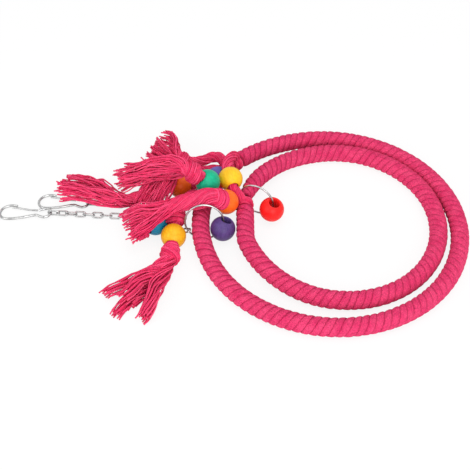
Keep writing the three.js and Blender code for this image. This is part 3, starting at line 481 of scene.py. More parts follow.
    # clumps end at different lengths, and the yarns in them too
    chance = addNode(
        tree, "FunctionNodeRandomValue", {2: 0.0, 3: relief["yarnShort"], "ID": read["yarn"], "Seed": given["seed"]},
    ).outputs[1]
    clumpChance = addNode(
        tree, "FunctionNodeRandomValue", {2: 0.0, 3: relief["clumpShort"], "ID": clump, "Seed": given["seed"]},
    ).outputs[1]
    either = addNode(tree, "ShaderNodeMath", {0: chance, 1: clumpChance}, operation="ADD")
    short = addNode(tree, "ShaderNodeMath", {0: either, 1: given["endSpread"]}, operation="MULTIPLY")
    past = addNode(tree, "ShaderNodeMath", {0: read["tipGap"], 1: short}, operation="LESS_THAN")
    cut = addNode(tree, "GeometryNodeDeleteGeometry", {"Geometry": laid, "Selection": past})
    circle = addNode(
        tree, "GeometryNodeCurvePrimitiveCircle", {"Resolution": given["yarnSides"], "Radius": given["yarnRadius"]},
    )
    factor = addNode(tree, "GeometryNodeSplineParameter").outputs["Factor"]
    section = addNode(
        tree, "GeometryNodeStoreNamedAttribute", {"Geometry": circle, "Name": "around", "Value": factor},
    )
    tubes = addNode(tree, "GeometryNodeCurveToMesh", {"Curve": cut, "Profile Curve": section, "Fill Caps": True})
    endTree(tree, tubes, given["material"])
    return tree


# a round wire along a line, closed or open
def makeWireTree():
    tree, given = newTree("bentWire", {"wireRadius": "Float", "wireSides": "Int", "material": "Material"})
    line = addNode(tree, "GeometryNodeMeshToCurve", {"Mesh": given["Geometry"]})
    circle = addNode(
        tree, "GeometryNodeCurvePrimitiveCircle", {"Resolution": given["wireSides"], "Radius": given["wireRadius"]},
    )
    tube = addNode(tree, "GeometryNodeCurveToMesh", {"Curve": line, "Profile Curve": circle, "Fill Caps": True})
    endTree(tree, tube, given["material"])
    return tree


# a line of points as an object, with what the trees read at each point
def makeLine(name, points, layers, closed=False, breaks=()):
    count = len(points)
    edges = [(i, i + 1) for i in range(count - 1) if i + 1 not in breaks]
    if closed:
        edges.append((count - 1, 0))
    mesh = bpy.data.meshes.new(name)
    mesh.from_pydata([tuple(p) for p in points], edges, [])
    for label, values in layers.items():
        values = np.asarray(values, float)
        vector = values.ndim == 2
        layer = mesh.attributes.new(label, "FLOAT_VECTOR" if vector else "FLOAT", "POINT")
        layer.data.foreach_set("vector" if vector else "value", values.ravel())
    obj = bpy.data.objects.new(name, mesh)
    bpy.context.collection.objects.link(obj)
    return obj


# runs a tree on a line and keeps the result as a plain mesh
def runTree(obj, tree, values):
    modifier = obj.modifiers.new(tree.name, "NODES")
    modifier.node_group = tree
    for item in tree.interface.items_tree:
        if item.in_out == "INPUT" and item.name in values:
            modifier[item.identifier] = values[item.name]
    graph = bpy.context.evaluated_depsgraph_get()
    made = bpy.data.meshes.new_from_object(obj.evaluated_get(graph), preserve_all_data_layers=True, depsgraph=graph)
    line = obj.data
    obj.modifiers.remove(modifier)
    obj.data = made
    made.name = obj.name
    bpy.data.meshes.remove(line)
    return obj


ropeTree = makeRopeTree(ropeRelief)
yarnTree = makeYarnTree(yarnRelief)
wireTree = makeWireTree()
print("node trees built")


# Wound ropes of the two rings

ropeSizes = {
    "ropeRadius": 9.05,    # mm, as all lengths here
    "restHeight": 8.6845,  # axis of the rope where it lies on the floor
    "ropeSides": 48,
    "stepsPerBand": 12,
    "bandPitch": 7.5,
    "bandStarts": 3,       # bands side by side, which sets how far the helix leans
    "creaseDepth": 1.2,
    "creaseSharpness": 3.6,
    "bandLap": 0.32,
    "bandWander": 0.9,
    "endRound": 2.2,
    "endRun": 3.0,
    "taperRun": 42.0,
    "finePoints": 6000,    # points of the line before it gets equal steps
}
outerSizes = {
    "radius": 129.0, "startDeg": 168.5, "endDeg": 493.6, "lift": 4.8, "liftAtDeg": 165.0, "liftSpan": 62.0,
    "taper": 0.0,
}
innerSizes = {
    "centre": (11.2, 4.6), "halfWidth": 97.5, "leftHalfWidth": 99.5, "halfDepth": 102.0, "straightX": -84.5,
    "blend": 0.6, "gapLowY": 18.0, "gapHighY": 35.05, "lift": 4.8, "liftFlat": 20.0, "liftSpan": 60.0,
    "taper": 2.2,
}


# both ropes rise towards the joint: the share of the lift at an angle from it
def liftShare(offDeg, flat, span):
    nearest = (offDeg + 180) % 360 - 180
    past = np.maximum(0, np.abs(nearest) - flat)
    return np.where(past >= span, 0, 0.5 * (1 + np.cos(np.pi * past / span)))


def outerPoint(deg):
    deg = np.asarray(deg, float)
    s = outerSizes
    lift = s["lift"] * liftShare(deg - s["liftAtDeg"], 0, s["liftSpan"])
    angle = np.radians(deg)
    return np.stack([s["radius"] * np.cos(angle), s["radius"] * np.sin(angle), ropeSizes["restHeight"] + lift], -1)


def innerPoint(deg):
    deg = np.asarray(deg, float)
    s = innerSizes
    angle = np.radians(deg)
    half = np.where(np.cos(angle) > 0, s["halfWidth"], s["leftHalfWidth"])
    past = (s["centre"][0] + half * np.cos(angle) - s["straightX"]) / s["blend"]
    x = s["straightX"] + s["blend"] * np.logaddexp(0, past)
    y = s["centre"][1] + s["halfDepth"] * np.sin(angle)
    lift = s["lift"] * liftShare(deg - 180, s["liftFlat"], s["liftSpan"])
    return np.stack([x, y, ropeSizes["restHeight"] + lift], -1)


# the angle at which the inner ring's left side has this y
def innerDegAtY(y):
    return 180 - math.degrees(math.asin((y - innerSizes["centre"][1]) / innerSizes["halfDepth"]))


def lengthsAlong(points):
    steps = np.linalg.norm(np.diff(points, axis=0), axis=1)
    return np.concatenate([[0], np.cumsum(steps)])


# equal steps along a line of points
def evenly(points, step):
    lengths = lengthsAlong(points)
    goals = np.linspace(0, lengths[-1], max(2, int(round(lengths[-1] / step)) + 1))
    return np.stack([np.interp(goals, lengths, points[:, k]) for k in range(3)], -1)


def makeRope(name, pointAt, startDeg, endDeg, body, taper):
    s = ropeSizes
    fine = pointAt(np.linspace(startDeg, endDeg, s["finePoints"]))
    points = evenly(fine, s["bandPitch"] / s["stepsPerBand"])
    along = lengthsAlong(points)
    fromEnd = np.minimum(along, along[-1] - along)
    endShare = np.clip(1 - fromEnd / s["endRun"], 0, 1) ** 2
    # the far end is drawn thinner by its tie
    endShare += taper / s["endRound"] * np.clip(1 - (along[-1] - along) / s["taperRun"], 0, 1) ** 2
    line = makeLine(name + "_wound", toRow(points), {"along": along * mm, "endShare": endShare})
    rope = runTree(line, ropeTree, {
        "ropeRadius": s["ropeRadius"] * mm, "ropeSides": s["ropeSides"], "bandPitch": s["bandPitch"] * mm,
        "bandStarts": float(s["bandStarts"]), "creaseDepth": s["creaseDepth"] * mm,
        "creaseSharpness": s["creaseSharpness"], "bandLap": s["bandLap"] * mm, "bandWander": s["bandWander"],
        "endRound": s["endRound"] * mm, "material": woundCotton,
    })
    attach(rope, body)
    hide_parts(name)


makeRope("outer_ring_rope", outerPoint, outerSizes["startDeg"], outerSizes["endDeg"], "outer_ring", outerSizes["taper"])
innerStart, innerEnd = innerDegAtY(innerSizes["gapLowY"]), innerDegAtY(innerSizes["gapHighY"]) + 360
makeRope("inner_ring_rope", innerPoint, innerStart, innerEnd, "inner_ring", innerSizes["taper"])
print("ropes wound")


# Cords, knots and frayed ends, all lengths in mm

cordSizes = {
    "diameter": 9.4, "yarns": 26, "yarnRadius": 1.0, "yarnSides": 7, "turnsPerMetre": 18.0, "step": 1.8,
    "waviness": 0.5, "waveScale": 60.0, "firstSeed": 11,
    "widest": 5.2,        # most of its half width, as knots are coils of their own
}
knotSizes = {
    "yarns": 24, "yarnRadius": 0.95, "yarnSides": 7, "turnsPerMetre": 16.0, "step": 1.4,
    "waviness": 0.4, "waveScale": 60.0, "firstSeed": 31,
    "bundleShare": 0.46,  # radius of the coiled cord, as a share of the knot's
    "turnGap": 1.5,       # from turn to turn, in radii of the cord
    "press": 0.6,         # how far the turns are pulled together
    "endThin": 0.55,      # how thin a coil's ends are
    "endGrow": 4,         # and how fast they grow to full size
    "fewestSteps": 12,
    "startDeg": 40, "stepDeg": 70,  # where a coil starts, from tail to tail
}
tasselSizes = {
    "yarnRadius": 0.74, "yarnSides": 6, "step": 1.8, "waviness": 0.5, "waveScale": 40.0,
    "neck": 6.2,          # widest start
    "clumpRadius": 4.8, "clumpStray": 0.9,
    "twist": 22.0, "frayTwist": 3.0,      # turns per metre, before the yarns part and after
    "endSpread": 22.0, "endShare": 0.2,   # how far apart the tips end, and the most of the whole length
    "pastEnd": 8.0,       # how far the longest yarns pass the last stop
}
hitchSizes = {
    "coilRadius": 5.3, "bundleRadius": 3.0, "turns": 2.0, "span": 5.2, "startDeg": 25, "stepDeg": 60, "firstSeed": 71,
}
beadSizes = {
    "radius": 12.5, "holeRadius": 5.5, "holeRound": 0.9,
    "threadRadius": 4.7, "threadReach": 1,  # of the cord inside, and how far it runs straight past the bead
    "profileSteps": 26, "roundSteps": 5, "wallSteps": 6, "segments": 64,
    "grainStep": 40.0,  # from bead to bead, so that no two have the same grain
}
# centre and hole's direction of the beads on the cords
beadRuns = {
    "orangeNear": ((-103.5, 16.7, 24.5), (-0.35, -0.55, 0.76)),
    "yellowTie": ((-99.3, 46.9, 27.4), (-0.26, 0.95, 0.14)),
    "tealTop": ((-122.2, 35.5, 34.6), (-0.6, -0.15, 0.79)),
    "orangeFar": ((-151, 51.6, 12.7), (-0.99, -0.1, 0)),
    "yellowLow": ((-155.3, -19, 12.7), (-0.12, -0.99, -0.06)),
    "blueLow": ((-174, -1, 12.7), (-0.72, -0.69, 0)),
}


def unit(vector):
    vector = np.asarray(vector, float)
    return vector / np.linalg.norm(vector)


# stops of a straight run through a bead
def throughBead(label):
    centre, axis = beadRuns[label]
    reach = beadSizes["radius"] + beadSizes["threadReach"]
    half = beadSizes["threadRadius"]
    steps = (-reach, -reach / 2, 0, reach / 2, reach)
    return [tuple(np.array(centre) + unit(axis) * d) + (half, half, 0) for d in steps]


# stops of each tail: x, y, z, half width, half height, fray
tails = {
    "crossing": [
        (-87.5, 26, 10.5, 3.2, 3.2, 0), (-92.8, 27, 7.6, 3.2, 3.2, 0), *throughBead("orangeNear"),
        (-110.4, 8, 37.6, 8.6, 8.4, 0), (-116.4, 9, 38.2, 9.4, 9, 0), (-123, 10, 36.6, 9.8, 9.2, 0),
        (-129.5, 9.6, 34.8, 9.8, 9.2, 0), (-138, 8.4, 33.8, 8.8, 8.4, 0), (-148, 5.4, 33.8, 8.2, 7.4, 0),
        (-158, 0.5, 33.4, 8, 6.6, 0.1), (-169, -5.5, 31.8, 10.5, 5.6, 0.55), (-180, -11, 27.6, 16, 5, 1),
        (-191, -14, 21.2, 20.5, 5, 1), (-200, -15.5, 15, 24, 5, 1),
    ],
    "tie": [
        (-86.8, 24.4, 17.4, 4.6, 4.6, 0), (-90.2, 27, 24, 4.2, 4.2, 0),
        *throughBead("yellowTie"), (-102, 69.5, 29.4, 5.2, 5.2, 0), (-98, 80, 27.4, 5.2, 5.2, 0),
        (-94.6, 87.6, 22, 5, 5, 0), (-94.2, 88.6, 17, 4.6, 4.6, 0),
    ],
    "lower": [
        (-129, 32.5, 16, 4.8, 4.8, 0), (-135.5, 32.5, 19, 5, 5, 0), (-143.5, 25.5, 19.4, 5.8, 5.8, 0),
        (-150.6, 14, 17.2, 8.4, 8.2, 0), (-154, 4.6, 16.4, 11, 9, 0), (-155, -1.8, 14, 6, 6, 0),
        *throughBead("yellowLow"),
        (-156.8, -37, 11.6, 8.8, 8.8, 0), (-157.4, -44, 10.8, 9.4, 9, 0), (-160, -51.5, 10.2, 7.6, 7.4, 0.2),
        (-165.9, -64, 9.4, 10.5, 7, 0.45), (-180.2, -84.4, 8, 18.5, 6, 0.85), (-197.2, -105.8, 6.6, 26, 5, 1),
    ],
    "short": [
        (-129, 33.5, 9, 4.6, 4.6, 0), (-135.4, 31.8, 8, 4.6, 4.6, 0), (-147, 25.4, 9.2, 4.6, 4.6, 0),
        (-157, 16, 11.6, 4.6, 4.6, 0), *throughBead("blueLow"), (-186, -12.4, 10.6, 6.6, 6.6, 0),
        (-189, -15.4, 9.6, 5.6, 5.6, 0), (-191, -17.4, 9, 3, 3, 0),
    ],
    "top": [
        (-115.5, 44, 12, 4.6, 4.6, 0), (-112.4, 40.4, 16.6, 4.6, 4.6, 0), *throughBead("tealTop"),
        (-132.5, 32.8, 46.8, 9.2, 9, 0), (-138, 34.5, 48.8, 10.6, 9.6, 0), (-145.5, 40, 49, 8, 7, 0.3),
        (-158, 43.5, 46, 8, 6.6, 1), (-177, 47, 40, 11, 6.4, 1), (-196, 49.5, 32.4, 15.5, 6, 1),
        (-210, 51.5, 25, 20, 5.6, 1),
    ],
    "far": [
        (-124.5, 47, 12.8, 4.6, 4.6, 0), (-131, 51, 12.8, 4.6, 4.6, 0), *throughBead("orangeFar"),
        (-172, 47.6, 12.4, 7.2, 6.6, 0), (-181, 43.4, 11.6, 6.4, 5.4, 0), (-192, 37.6, 11.8, 6, 5.2, 0),
        (-205, 30, 13, 7, 5.6, 0.3), (-218, 31.5, 15.2, 12, 6.4, 1), (-237, 39, 16, 17, 6.4, 1),
        (-256, 47, 15.5, 19, 5.6, 1), (-273, 52, 14, 22, 5, 1),
    ],
    "back": [
        (-105, 80.5, 15, 4.8, 4.8, 0), (-109.5, 87, 19, 5, 5, 0), (-118, 90, 18.4, 5.4, 5.4, 0),
        (-131, 87.6, 14.6, 5.8, 5.8, 0), (-143, 87, 14, 7.4, 7.2, 0), (-151, 90, 14.4, 8.8, 8.4, 0),
        (-157, 95, 14, 7.6, 6.8, 0.3), (-164.5, 100, 13, 13.5, 6.6, 0.8), (-173.5, 107.5, 11.4, 19.5, 6, 1),
        (-181.5, 114, 9.4, 24, 5, 1),
    ],
    "middle": [
        (-107, 79.5, 10, 4.6, 4.6, 0), (-116, 80.5, 9, 4.6, 4.6, 0), (-129, 77.5, 10.4, 4.8, 4.8, 0),
        (-143, 75, 15, 5.6, 5.6, 0), (-154, 72.4, 19.4, 8, 7.6, 0), (-160, 68, 24, 8.2, 7.2, 0.3),
        (-164, 59, 27.6, 9.6, 5.6, 1), (-169.5, 46, 26.8, 13, 4.8, 1), (-175, 34, 23.6, 15.5, 4.2, 1),
        (-180, 22, 18.6, 17, 4, 1),
    ],
}
# knots: where on the tail, outside radius, turns, lean of the turns against the tail
knots = {
    "crossing": [((-111, 8.2, 37.6), 10.2, 1.8, 0.45)],
    "lower": [
        ((-154, 3.4, 16), 10.8, 2.2, 0.45), ((-156.6, -35, 11.8), 8.4, 1.3, 0), ((-157, -42, 11), 10.2, 2.0, -0.35),
    ],
    "short": [((-186, -12.4, 10.6), 6.8, 1.6, 0.2)],
    "top": [((-135.6, 34, 48), 10.6, 2.1, 0.45)],
    "far": [((-172, 47.6, 12.4), 7.2, 1.8, 0.3)],
    "back": [((-149, 89, 14.3), 8.8, 2.0, 0.3)],
    "middle": [((-155, 72, 19.8), 8.2, 2.0, 0.3)],
}
# a tail that is thick with yarn some stops before its fray: how many, and its twist in turns per metre
twisted = {"crossing": (6, -9.0)}
# frayed ends: clumps that the yarns fall into, how firmly, and how far a yarn strays
frays = {
    "lower": {"clumps": 6.0, "clumpShare": 0.95, "looseness": 4.8, "yarns": 130, "seed": 53},
    "crossing": {"clumps": 9.0, "clumpShare": 0.8, "looseness": 7.0, "yarns": 110, "seed": 51},
    "top": {"clumps": 8.0, "clumpShare": 0.85, "looseness": 7.0, "yarns": 96, "seed": 55},
    "back": {"clumps": 7.0, "clumpShare": 0.88, "looseness": 6.5, "yarns": 120, "seed": 57},
    "middle": {"clumps": 8.0, "clumpShare": 0.75, "looseness": 7.0, "yarns": 110, "seed": 58},
    "far": {"clumps": 7.0, "clumpShare": 0.85, "looseness": 8.0, "yarns": 96, "seed": 56},
}
# the CAD node that each tail is part of
tailNodes = {
    "crossing": "ring_tie_cord", "tie": "ring_tie_cord", "lower": "lower_tail_cord", "short": "lower_tail_cord",
    "top": "top_tail_cord", "far": "top_tail_cord", "back": "back_tail_cord", "middle": "back_tail_cord",
}


# a smooth line through stops, with the share of the way from stop to stop at each point
def smoothRoute(stops, step):
    points = np.array([stop[:3] for stop in stops], float)
    padded = np.vstack([2 * points[0] - points[1], points, 2 * points[-1] - points[-2]])
    route, shares = [], []
    for span in range(len(points) - 1):
        p0, p1, p2, p3 = padded[span:span + 4]
        d0, d1, d2 = (max(1e-3, np.linalg.norm(b - a) ** 0.5) for a, b in ((p0, p1), (p1, p2), (p2, p3)))
        leave = ((p1 - p0) / d0 - (p2 - p0) / (d0 + d1) + (p2 - p1) / d1) * d1
        arrive = ((p2 - p1) / d1 - (p3 - p1) / (d1 + d2) + (p3 - p2) / d2) * d1
        count = max(2, int(round(np.linalg.norm(p2 - p1) / step)))
        for k in range(count + (span == len(points) - 2)):
            t = k / count
            route.append(
                (2 * t ** 3 - 3 * t ** 2 + 1) * p1 + (t ** 3 - 2 * t ** 2 + t) * leave
                + (3 * t ** 2 - 2 * t ** 3) * p2 + (t ** 3 - t ** 2) * arrive
            )
            shares.append(span + t)
    return np.array(route), np.array(shares)


def tangentsOf(points):
    ahead = np.gradient(points, axis=0)
    return ahead / np.linalg.norm(ahead, axis=1, keepdims=True)


# level frames along a line: one side lies flat, the other rises
def levelFrames(points):
    ahead = tangentsOf(points)
    side = np.cross((0, 0, 1), ahead)
    side /= np.linalg.norm(side, axis=1, keepdims=True)
    return side, np.cross(ahead, side)


# frames that turn as little as they can, for coils
def carriedFrames(points):
    ahead = tangentsOf(points)
    offLine = (0.31, 0.52, 0.79)  # any direction that isn't along the line
    sides = [unit(np.cross(ahead[0], offLine))]
    for direction in ahead[1:]:
        sides.append(unit(sides[-1] - direction * np.dot(sides[-1], direction)))
    sides = np.array(sides)
    return sides, np.cross(ahead, sides)


# a bundle of yarn along one or more lines, each with its section sizes in mm
def makeBundle(name, runs, sizes, seed):
    layers = {key: [] for key in ("along", "tipGap", "halfWide", "halfHigh", "fray", "turn", "side", "rise")}
    points, breaks = [], []
    for run in runs:
        along = lengthsAlong(run["points"])
        breaks.append(sum(len(p) for p in points))
        points.append(run["points"])
        layers["along"].append(along * mm)
        layers["tipGap"].append((along[-1] - along) * mm)
        layers["halfWide"].append(run["halfWide"] * mm)
        layers["halfHigh"].append(run["halfHigh"] * mm)
        layers["fray"].append(run["fray"])
        rate = run["turnsPerMetre"] + np.zeros(len(along))
        turned = np.concatenate([[0], np.cumsum(np.diff(along) * (rate[1:] + rate[:-1]) / 2)])
        layers["turn"].append(2 * math.pi * turned * mm)
        layers["side"].append(run["side"])
        layers["rise"].append(run["rise"])
    joined = {key: np.concatenate(values) for key, values in layers.items()}
    line = makeLine(name, toRow(np.vstack(points)), joined, breaks=set(breaks))
    return runTree(line, yarnTree, {
        "yarns": sizes["yarns"], "yarnRadius": sizes["yarnRadius"] * mm, "yarnSides": sizes["yarnSides"],
        "clumps": sizes.get("clumps", 1.0), "clumpShare": sizes.get("clumpShare", 0.0),
        "clumpRadius": sizes.get("clumpRadius", 0.0) * mm, "clumpStray": sizes.get("clumpStray", 0.0),
        "looseness": sizes.get("looseness", 0.0) * mm, "waviness": sizes["waviness"] * mm,
        "waveScale": sizes["waveScale"], "endSpread": sizes.get("endSpread", 0.0) * mm, "seed": seed,
        "material": yarnCotton,
    })


# a coil of cord about an axis
def coilRun(centre, axis, coilRadius, bundleRadius, turns, span, startDeg, sizes, lean=0.0):
    axis = unit(axis)
    offAxis = (0.2, 0.3, 1.0)  # any direction that isn't along the axis
    across = unit(np.cross(axis, offAxis))
    other = np.cross(axis, across)
    count = max(sizes["fewestSteps"], int(2 * math.pi * coilRadius * turns / sizes["step"]))
    share = np.linspace(0, 1, count)
    angle = math.radians(startDeg) + 2 * math.pi * turns * share
    points = (
        np.array(centre) + np.outer((share - 0.5) * span, axis)
        + coilRadius * (np.outer(np.cos(angle), across) + np.outer(np.sin(angle), other))
        + np.outer(lean * coilRadius * np.cos(angle), axis)
    )
    side, rise = carriedFrames(points)
    ends = np.minimum(1.0, sizes["endThin"] + sizes["endGrow"] * np.minimum(share, 1 - share))
    return {
        "points": points, "halfWide": bundleRadius * ends, "halfHigh": bundleRadius * ends, "fray": np.zeros(count),
        "turnsPerMetre": sizes["turnsPerMetre"], "side": side, "rise": rise,
    }


def nearestOn(route, point):
    return int(np.argmin(np.linalg.norm(route - np.array(point), axis=1)))


# every piece of a cord moves with the outer ring
def wear(piece, node):
    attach(piece, "outer_ring")
    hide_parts(node)


# the cord itself, up to its fray
def makeCord(label, stops, seed):
    s = cordSizes
    route, shares = smoothRoute(stops, s["step"])
    half = np.interp(shares, range(len(stops)), [min(stop[3], s["widest"]) for stop in stops])
    side, rise = levelFrames(route)
    run = {
        "points": route, "halfWide": half, "halfHigh": half, "fray": np.zeros(len(route)),
        "turnsPerMetre": s["turnsPerMetre"], "side": side, "rise": rise,
    }
    return makeBundle(label + "_cord", [run], s, seed), route


def makeKnots(label, route, number):
    s = knotSizes
    startDeg = s["startDeg"] + s["stepDeg"] * number
    coils = []
    for where, outside, turns, lean in knots[label]:
        at = nearestOn(route, where)
        axis = tangentsOf(route)[at]
        bundle = outside * s["bundleShare"]
        span = bundle * s["turnGap"] * turns * s["press"]
        coils.append(coilRun(route[at], axis, outside - bundle, bundle, turns, span, startDeg, s, lean))
    return makeBundle(label + "_knots", coils, s, s["firstSeed"] + number)


# the frayed end, which starts inside the cord or knot before it
def makeTassel(label, stops, firstFrayed):
    s = tasselSizes
    early, twist = twisted.get(label, (1, s["twist"]))
    tipped = [list(stop) for stop in stops[firstFrayed - early:]]
    if label not in twisted:
        tipped[0][3:5] = [min(half, s["neck"]) for half in tipped[0][3:5]]
    tip = np.array(tipped[-1][:3])
    tipped[-1][:3] = list(tip + unit(tip - np.array(tipped[-2][:3])) * s["pastEnd"])
    route, shares = smoothRoute(tipped, s["step"])
    side, rise = levelFrames(route)
    wide, high, fray = (np.interp(shares, range(len(tipped)), [stop[k] for stop in tipped]) for k in (3, 4, 5))
    run = {
        "points": route, "halfWide": wide, "halfHigh": high, "fray": fray,
        "turnsPerMetre": twist * (1 - fray) + s["frayTwist"] * fray, "side": side, "rise": rise,
    }
    endSpread = min(s["endSpread"], s["endShare"] * lengthsAlong(route)[-1])
    return makeBundle(label + "_tassel", [run], {**s, **frays[label], "endSpread": endSpread}, frays[label]["seed"])


for number, (label, stops) in enumerate(tails.items()):
    frayed = [i for i, stop in enumerate(stops) if stop[5] > 0]
    cordStops = stops[:frayed[0] + 1] if frayed else stops
    cord, route = makeCord(label, cordStops, cordSizes["firstSeed"] + number)
    carried = []
    if label in knots:
        carried.append(makeKnots(label, route, number))
    if frayed:
        carried.append(makeTassel(label, stops, frayed[0]))
    for piece in (cord, *carried):
        wear(piece, tailNodes[label])


# a point on the outer ring's middle line, and the line's direction there
def onOuterRing(deg):
    return outerPoint(deg), unit(outerPoint(deg + 0.5) - outerPoint(deg - 0.5))


# hitches of the four cords round the core wires: centre and axis
hitches = {
    "ring_tie_cord": [((-84.5, 23.75, 13.4845), (0, 1, 0)), onOuterRing(136.97)],
    "lower_tail_cord": [onOuterRing(165.70)],
    "top_tail_cord": [onOuterRing(158.98)],
    "back_tail_cord": [onOuterRing(142.27)],
}
for number, (node, places) in enumerate(hitches.items()):
    s = hitchSizes
    startDeg = s["startDeg"] + s["stepDeg"] * number
    runs = [
        coilRun(centre, axis, s["coilRadius"], s["bundleRadius"], s["turns"], s["span"], startDeg, knotSizes)
        for centre, axis in places
    ]
    wear(makeBundle(node + "_hitch", runs, knotSizes, s["firstSeed"] + number), node)
print("cords tied")


# Wooden beads

# centre, hole's direction and dye; the last two hang on the wire loops, in the row frame
beads = {
    "orange_bead_near": (*beadRuns["orangeNear"], "orange"),
    "yellow_bead_tie": (*beadRuns["yellowTie"], "yellow"),
    "teal_bead": (*beadRuns["tealTop"], "teal"),
    "orange_bead_far": (*beadRuns["orangeFar"], "orange"),
    # this bead wears the darker yellow, which is painted shade
    "yellow_bead_low": (*beadRuns["yellowLow"], "deepYellow"),
    "blue_bead": (*beadRuns["blueLow"], "blue"),
    "violet_bead": (*onOuterRing(150.62), "violet"),
    "red_bead": (np.array([41.6060, 16.0994, 14.4514]) - ringToRow, (0.2329, -0.1128, 0.9659), "red"),
    "purple_bead": (np.array([-7.4930, -10.0045, 13.7517]) - ringToRow, (0.3420, 0.2350, 0.9098), "purple"),
}


# half the bead's section: the ball, the rounded mouth of the hole and the hole's wall
def beadProfile(s):
    mouth = math.acos((s["holeRadius"] + s["holeRound"]) / s["radius"])
    angles = np.linspace(-mouth, mouth, s["profileSteps"])
    ball = [(s["radius"] * math.cos(a), s["radius"] * math.sin(a)) for a in angles]
    top = s["radius"] * math.sin(mouth)
    middle = (s["holeRadius"] + s["holeRound"], top - s["holeRound"])
    lip = [
        (middle[0] + s["holeRound"] * math.cos(a), middle[1] + s["holeRound"] * math.sin(a))
        for a in np.linspace(math.pi / 2, math.pi, s["roundSteps"])
    ]
    wall = [(s["holeRadius"], z) for z in np.linspace(middle[1], -middle[1], s["wallSteps"])[1:-1]]
    under = [(x, -z) for x, z in reversed(lip)]
    return ball + lip[1:] + wall + under[:-1]


def makeBead(name, centre, axis, colour):
    s = beadSizes
    profile = beadProfile(s)
    axis = unit(axis)
    offAxis = (0.37, 0.61, 0.2)  # any direction that isn't along a hole
    across = unit(np.cross(axis, offAxis))
    other = np.cross(axis, across)
    local = []
    for turn in np.linspace(0, 2 * math.pi, s["segments"], endpoint=False):
        local += [(x * math.cos(turn), x * math.sin(turn), z) for x, z in profile]
    local = np.array(local)
    points = np.array(centre) + local @ np.array([across, other, axis])
    rows = len(profile)
    faces = []
    for seg in range(s["segments"]):
        here, there = seg * rows, (seg + 1) % s["segments"] * rows
        for row in range(rows):
            after = (row + 1) % rows
            faces.append((here + row, there + row, there + after, here + after))
    mesh = bpy.data.meshes.new(name + "_turned")
    mesh.from_pydata([tuple(p) for p in toRow(points)], [], faces)
    layer = mesh.attributes.new("beadPlace", "FLOAT_VECTOR", "POINT")
    layer.data.foreach_set("vector", (local + s["grainStep"] * len(bpy.data.meshes)).ravel())
    mesh.shade_smooth()
    mesh.materials.append(dyedWood[colour])
    bead = bpy.data.objects.new(name + "_turned", mesh)
    bpy.context.collection.objects.link(bead)
    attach(bead, name)
    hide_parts(name)


for name, (centre, axis, colour) in beads.items():
    makeBead(name, centre, axis, colour)
print("beads turned")


# Bent wire: bead loops, jump ring, chain links and snap hooks

wireSizes = {
    "loopRadius": 0.95, "linkRadius": 0.88, "hookRadius": 1.3, "gateRadius": 0.95, "sides": 14,
    "loopSteps": 96, "hookStep": 0.8,
}


def makeWire(name, points, radius, closed):
    line = makeLine(name + "_wire", points, {}, closed)
    wire = runTree(line, wireTree, {"wireRadius": radius * mm, "wireSides": wireSizes["sides"], "material": brightWire})
    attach(wire, name)
    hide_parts(name)


# centre in the row frame in mm, two directions of the loop's plane, radius
loops = {
    "inner_bead_loop": ((26.8648, 25.4630, 19.1), (0.9, -0.436, 0), (0, 0, 1), 18.0),
    "outer_bead_loop": ((-25.7628, -6.4052, 19.69), (1, 0, 0), (0, 0.2501, 0.9682), 19.2),
    "chain_jump_ring": ((-28.0167, 40.517, 13.4626), (0.9086, -0.2870, 0.3034), (-0.2870, 0.0987, 0.9528), 8.0),
}
for name, (centre, right, up, radius) in loops.items():
    angles = np.linspace(0, 2 * math.pi, wireSizes["loopSteps"], endpoint=False)
    points = np.array(centre) + radius * (np.outer(np.cos(angles), right) + np.outer(np.sin(angles), up))
    makeWire(name, points * mm, wireSizes["loopRadius"], True)

linkSizes = {"halfLength": 5.675, "halfWidth": 2.5, "endSteps": 14, "sideSteps": 4}
chainLinks = {"first": 17, "second": 13}


# the middle line of one link: two half rounds joined by straight sides
def linkLine(s):
    straight = s["halfLength"] - s["halfWidth"]
    angles = np.linspace(-math.pi / 2, math.pi / 2, s["endSteps"])
    half = [(straight + s["halfWidth"] * math.cos(a), s["halfWidth"] * math.sin(a)) for a in angles]
    run = [(x, s["halfWidth"]) for x in np.linspace(straight, -straight, s["sideSteps"] + 1)[1:-1]]
    return np.array([*half, *run, *[(-x, -y) for x, y in half], *[(-x, -y) for x, y in run]])


# the link's place and directions, read from its CAD node
def linkPlace(node):
    points = np.array([v.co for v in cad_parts[node].data.vertices], float)
    points = np.unique(np.round(points, 7), axis=0)
    middle = points.mean(axis=0)
    directions = np.linalg.svd(points - middle, full_matrices=False)[2]
    spread = (points - middle) @ directions.T
    centre = middle + ((spread.max(axis=0) + spread.min(axis=0)) / 2) @ directions
    return centre, directions


flat = linkLine(linkSizes) * mm
for chain, count in chainLinks.items():
    for number in range(1, count + 1):
        name = f"{chain}_chain_link_{number:02d}"
        centre, directions = linkPlace(name)
        makeWire(name, centre + flat @ directions[:2], wireSizes["linkRadius"], True)
print("chains linked")

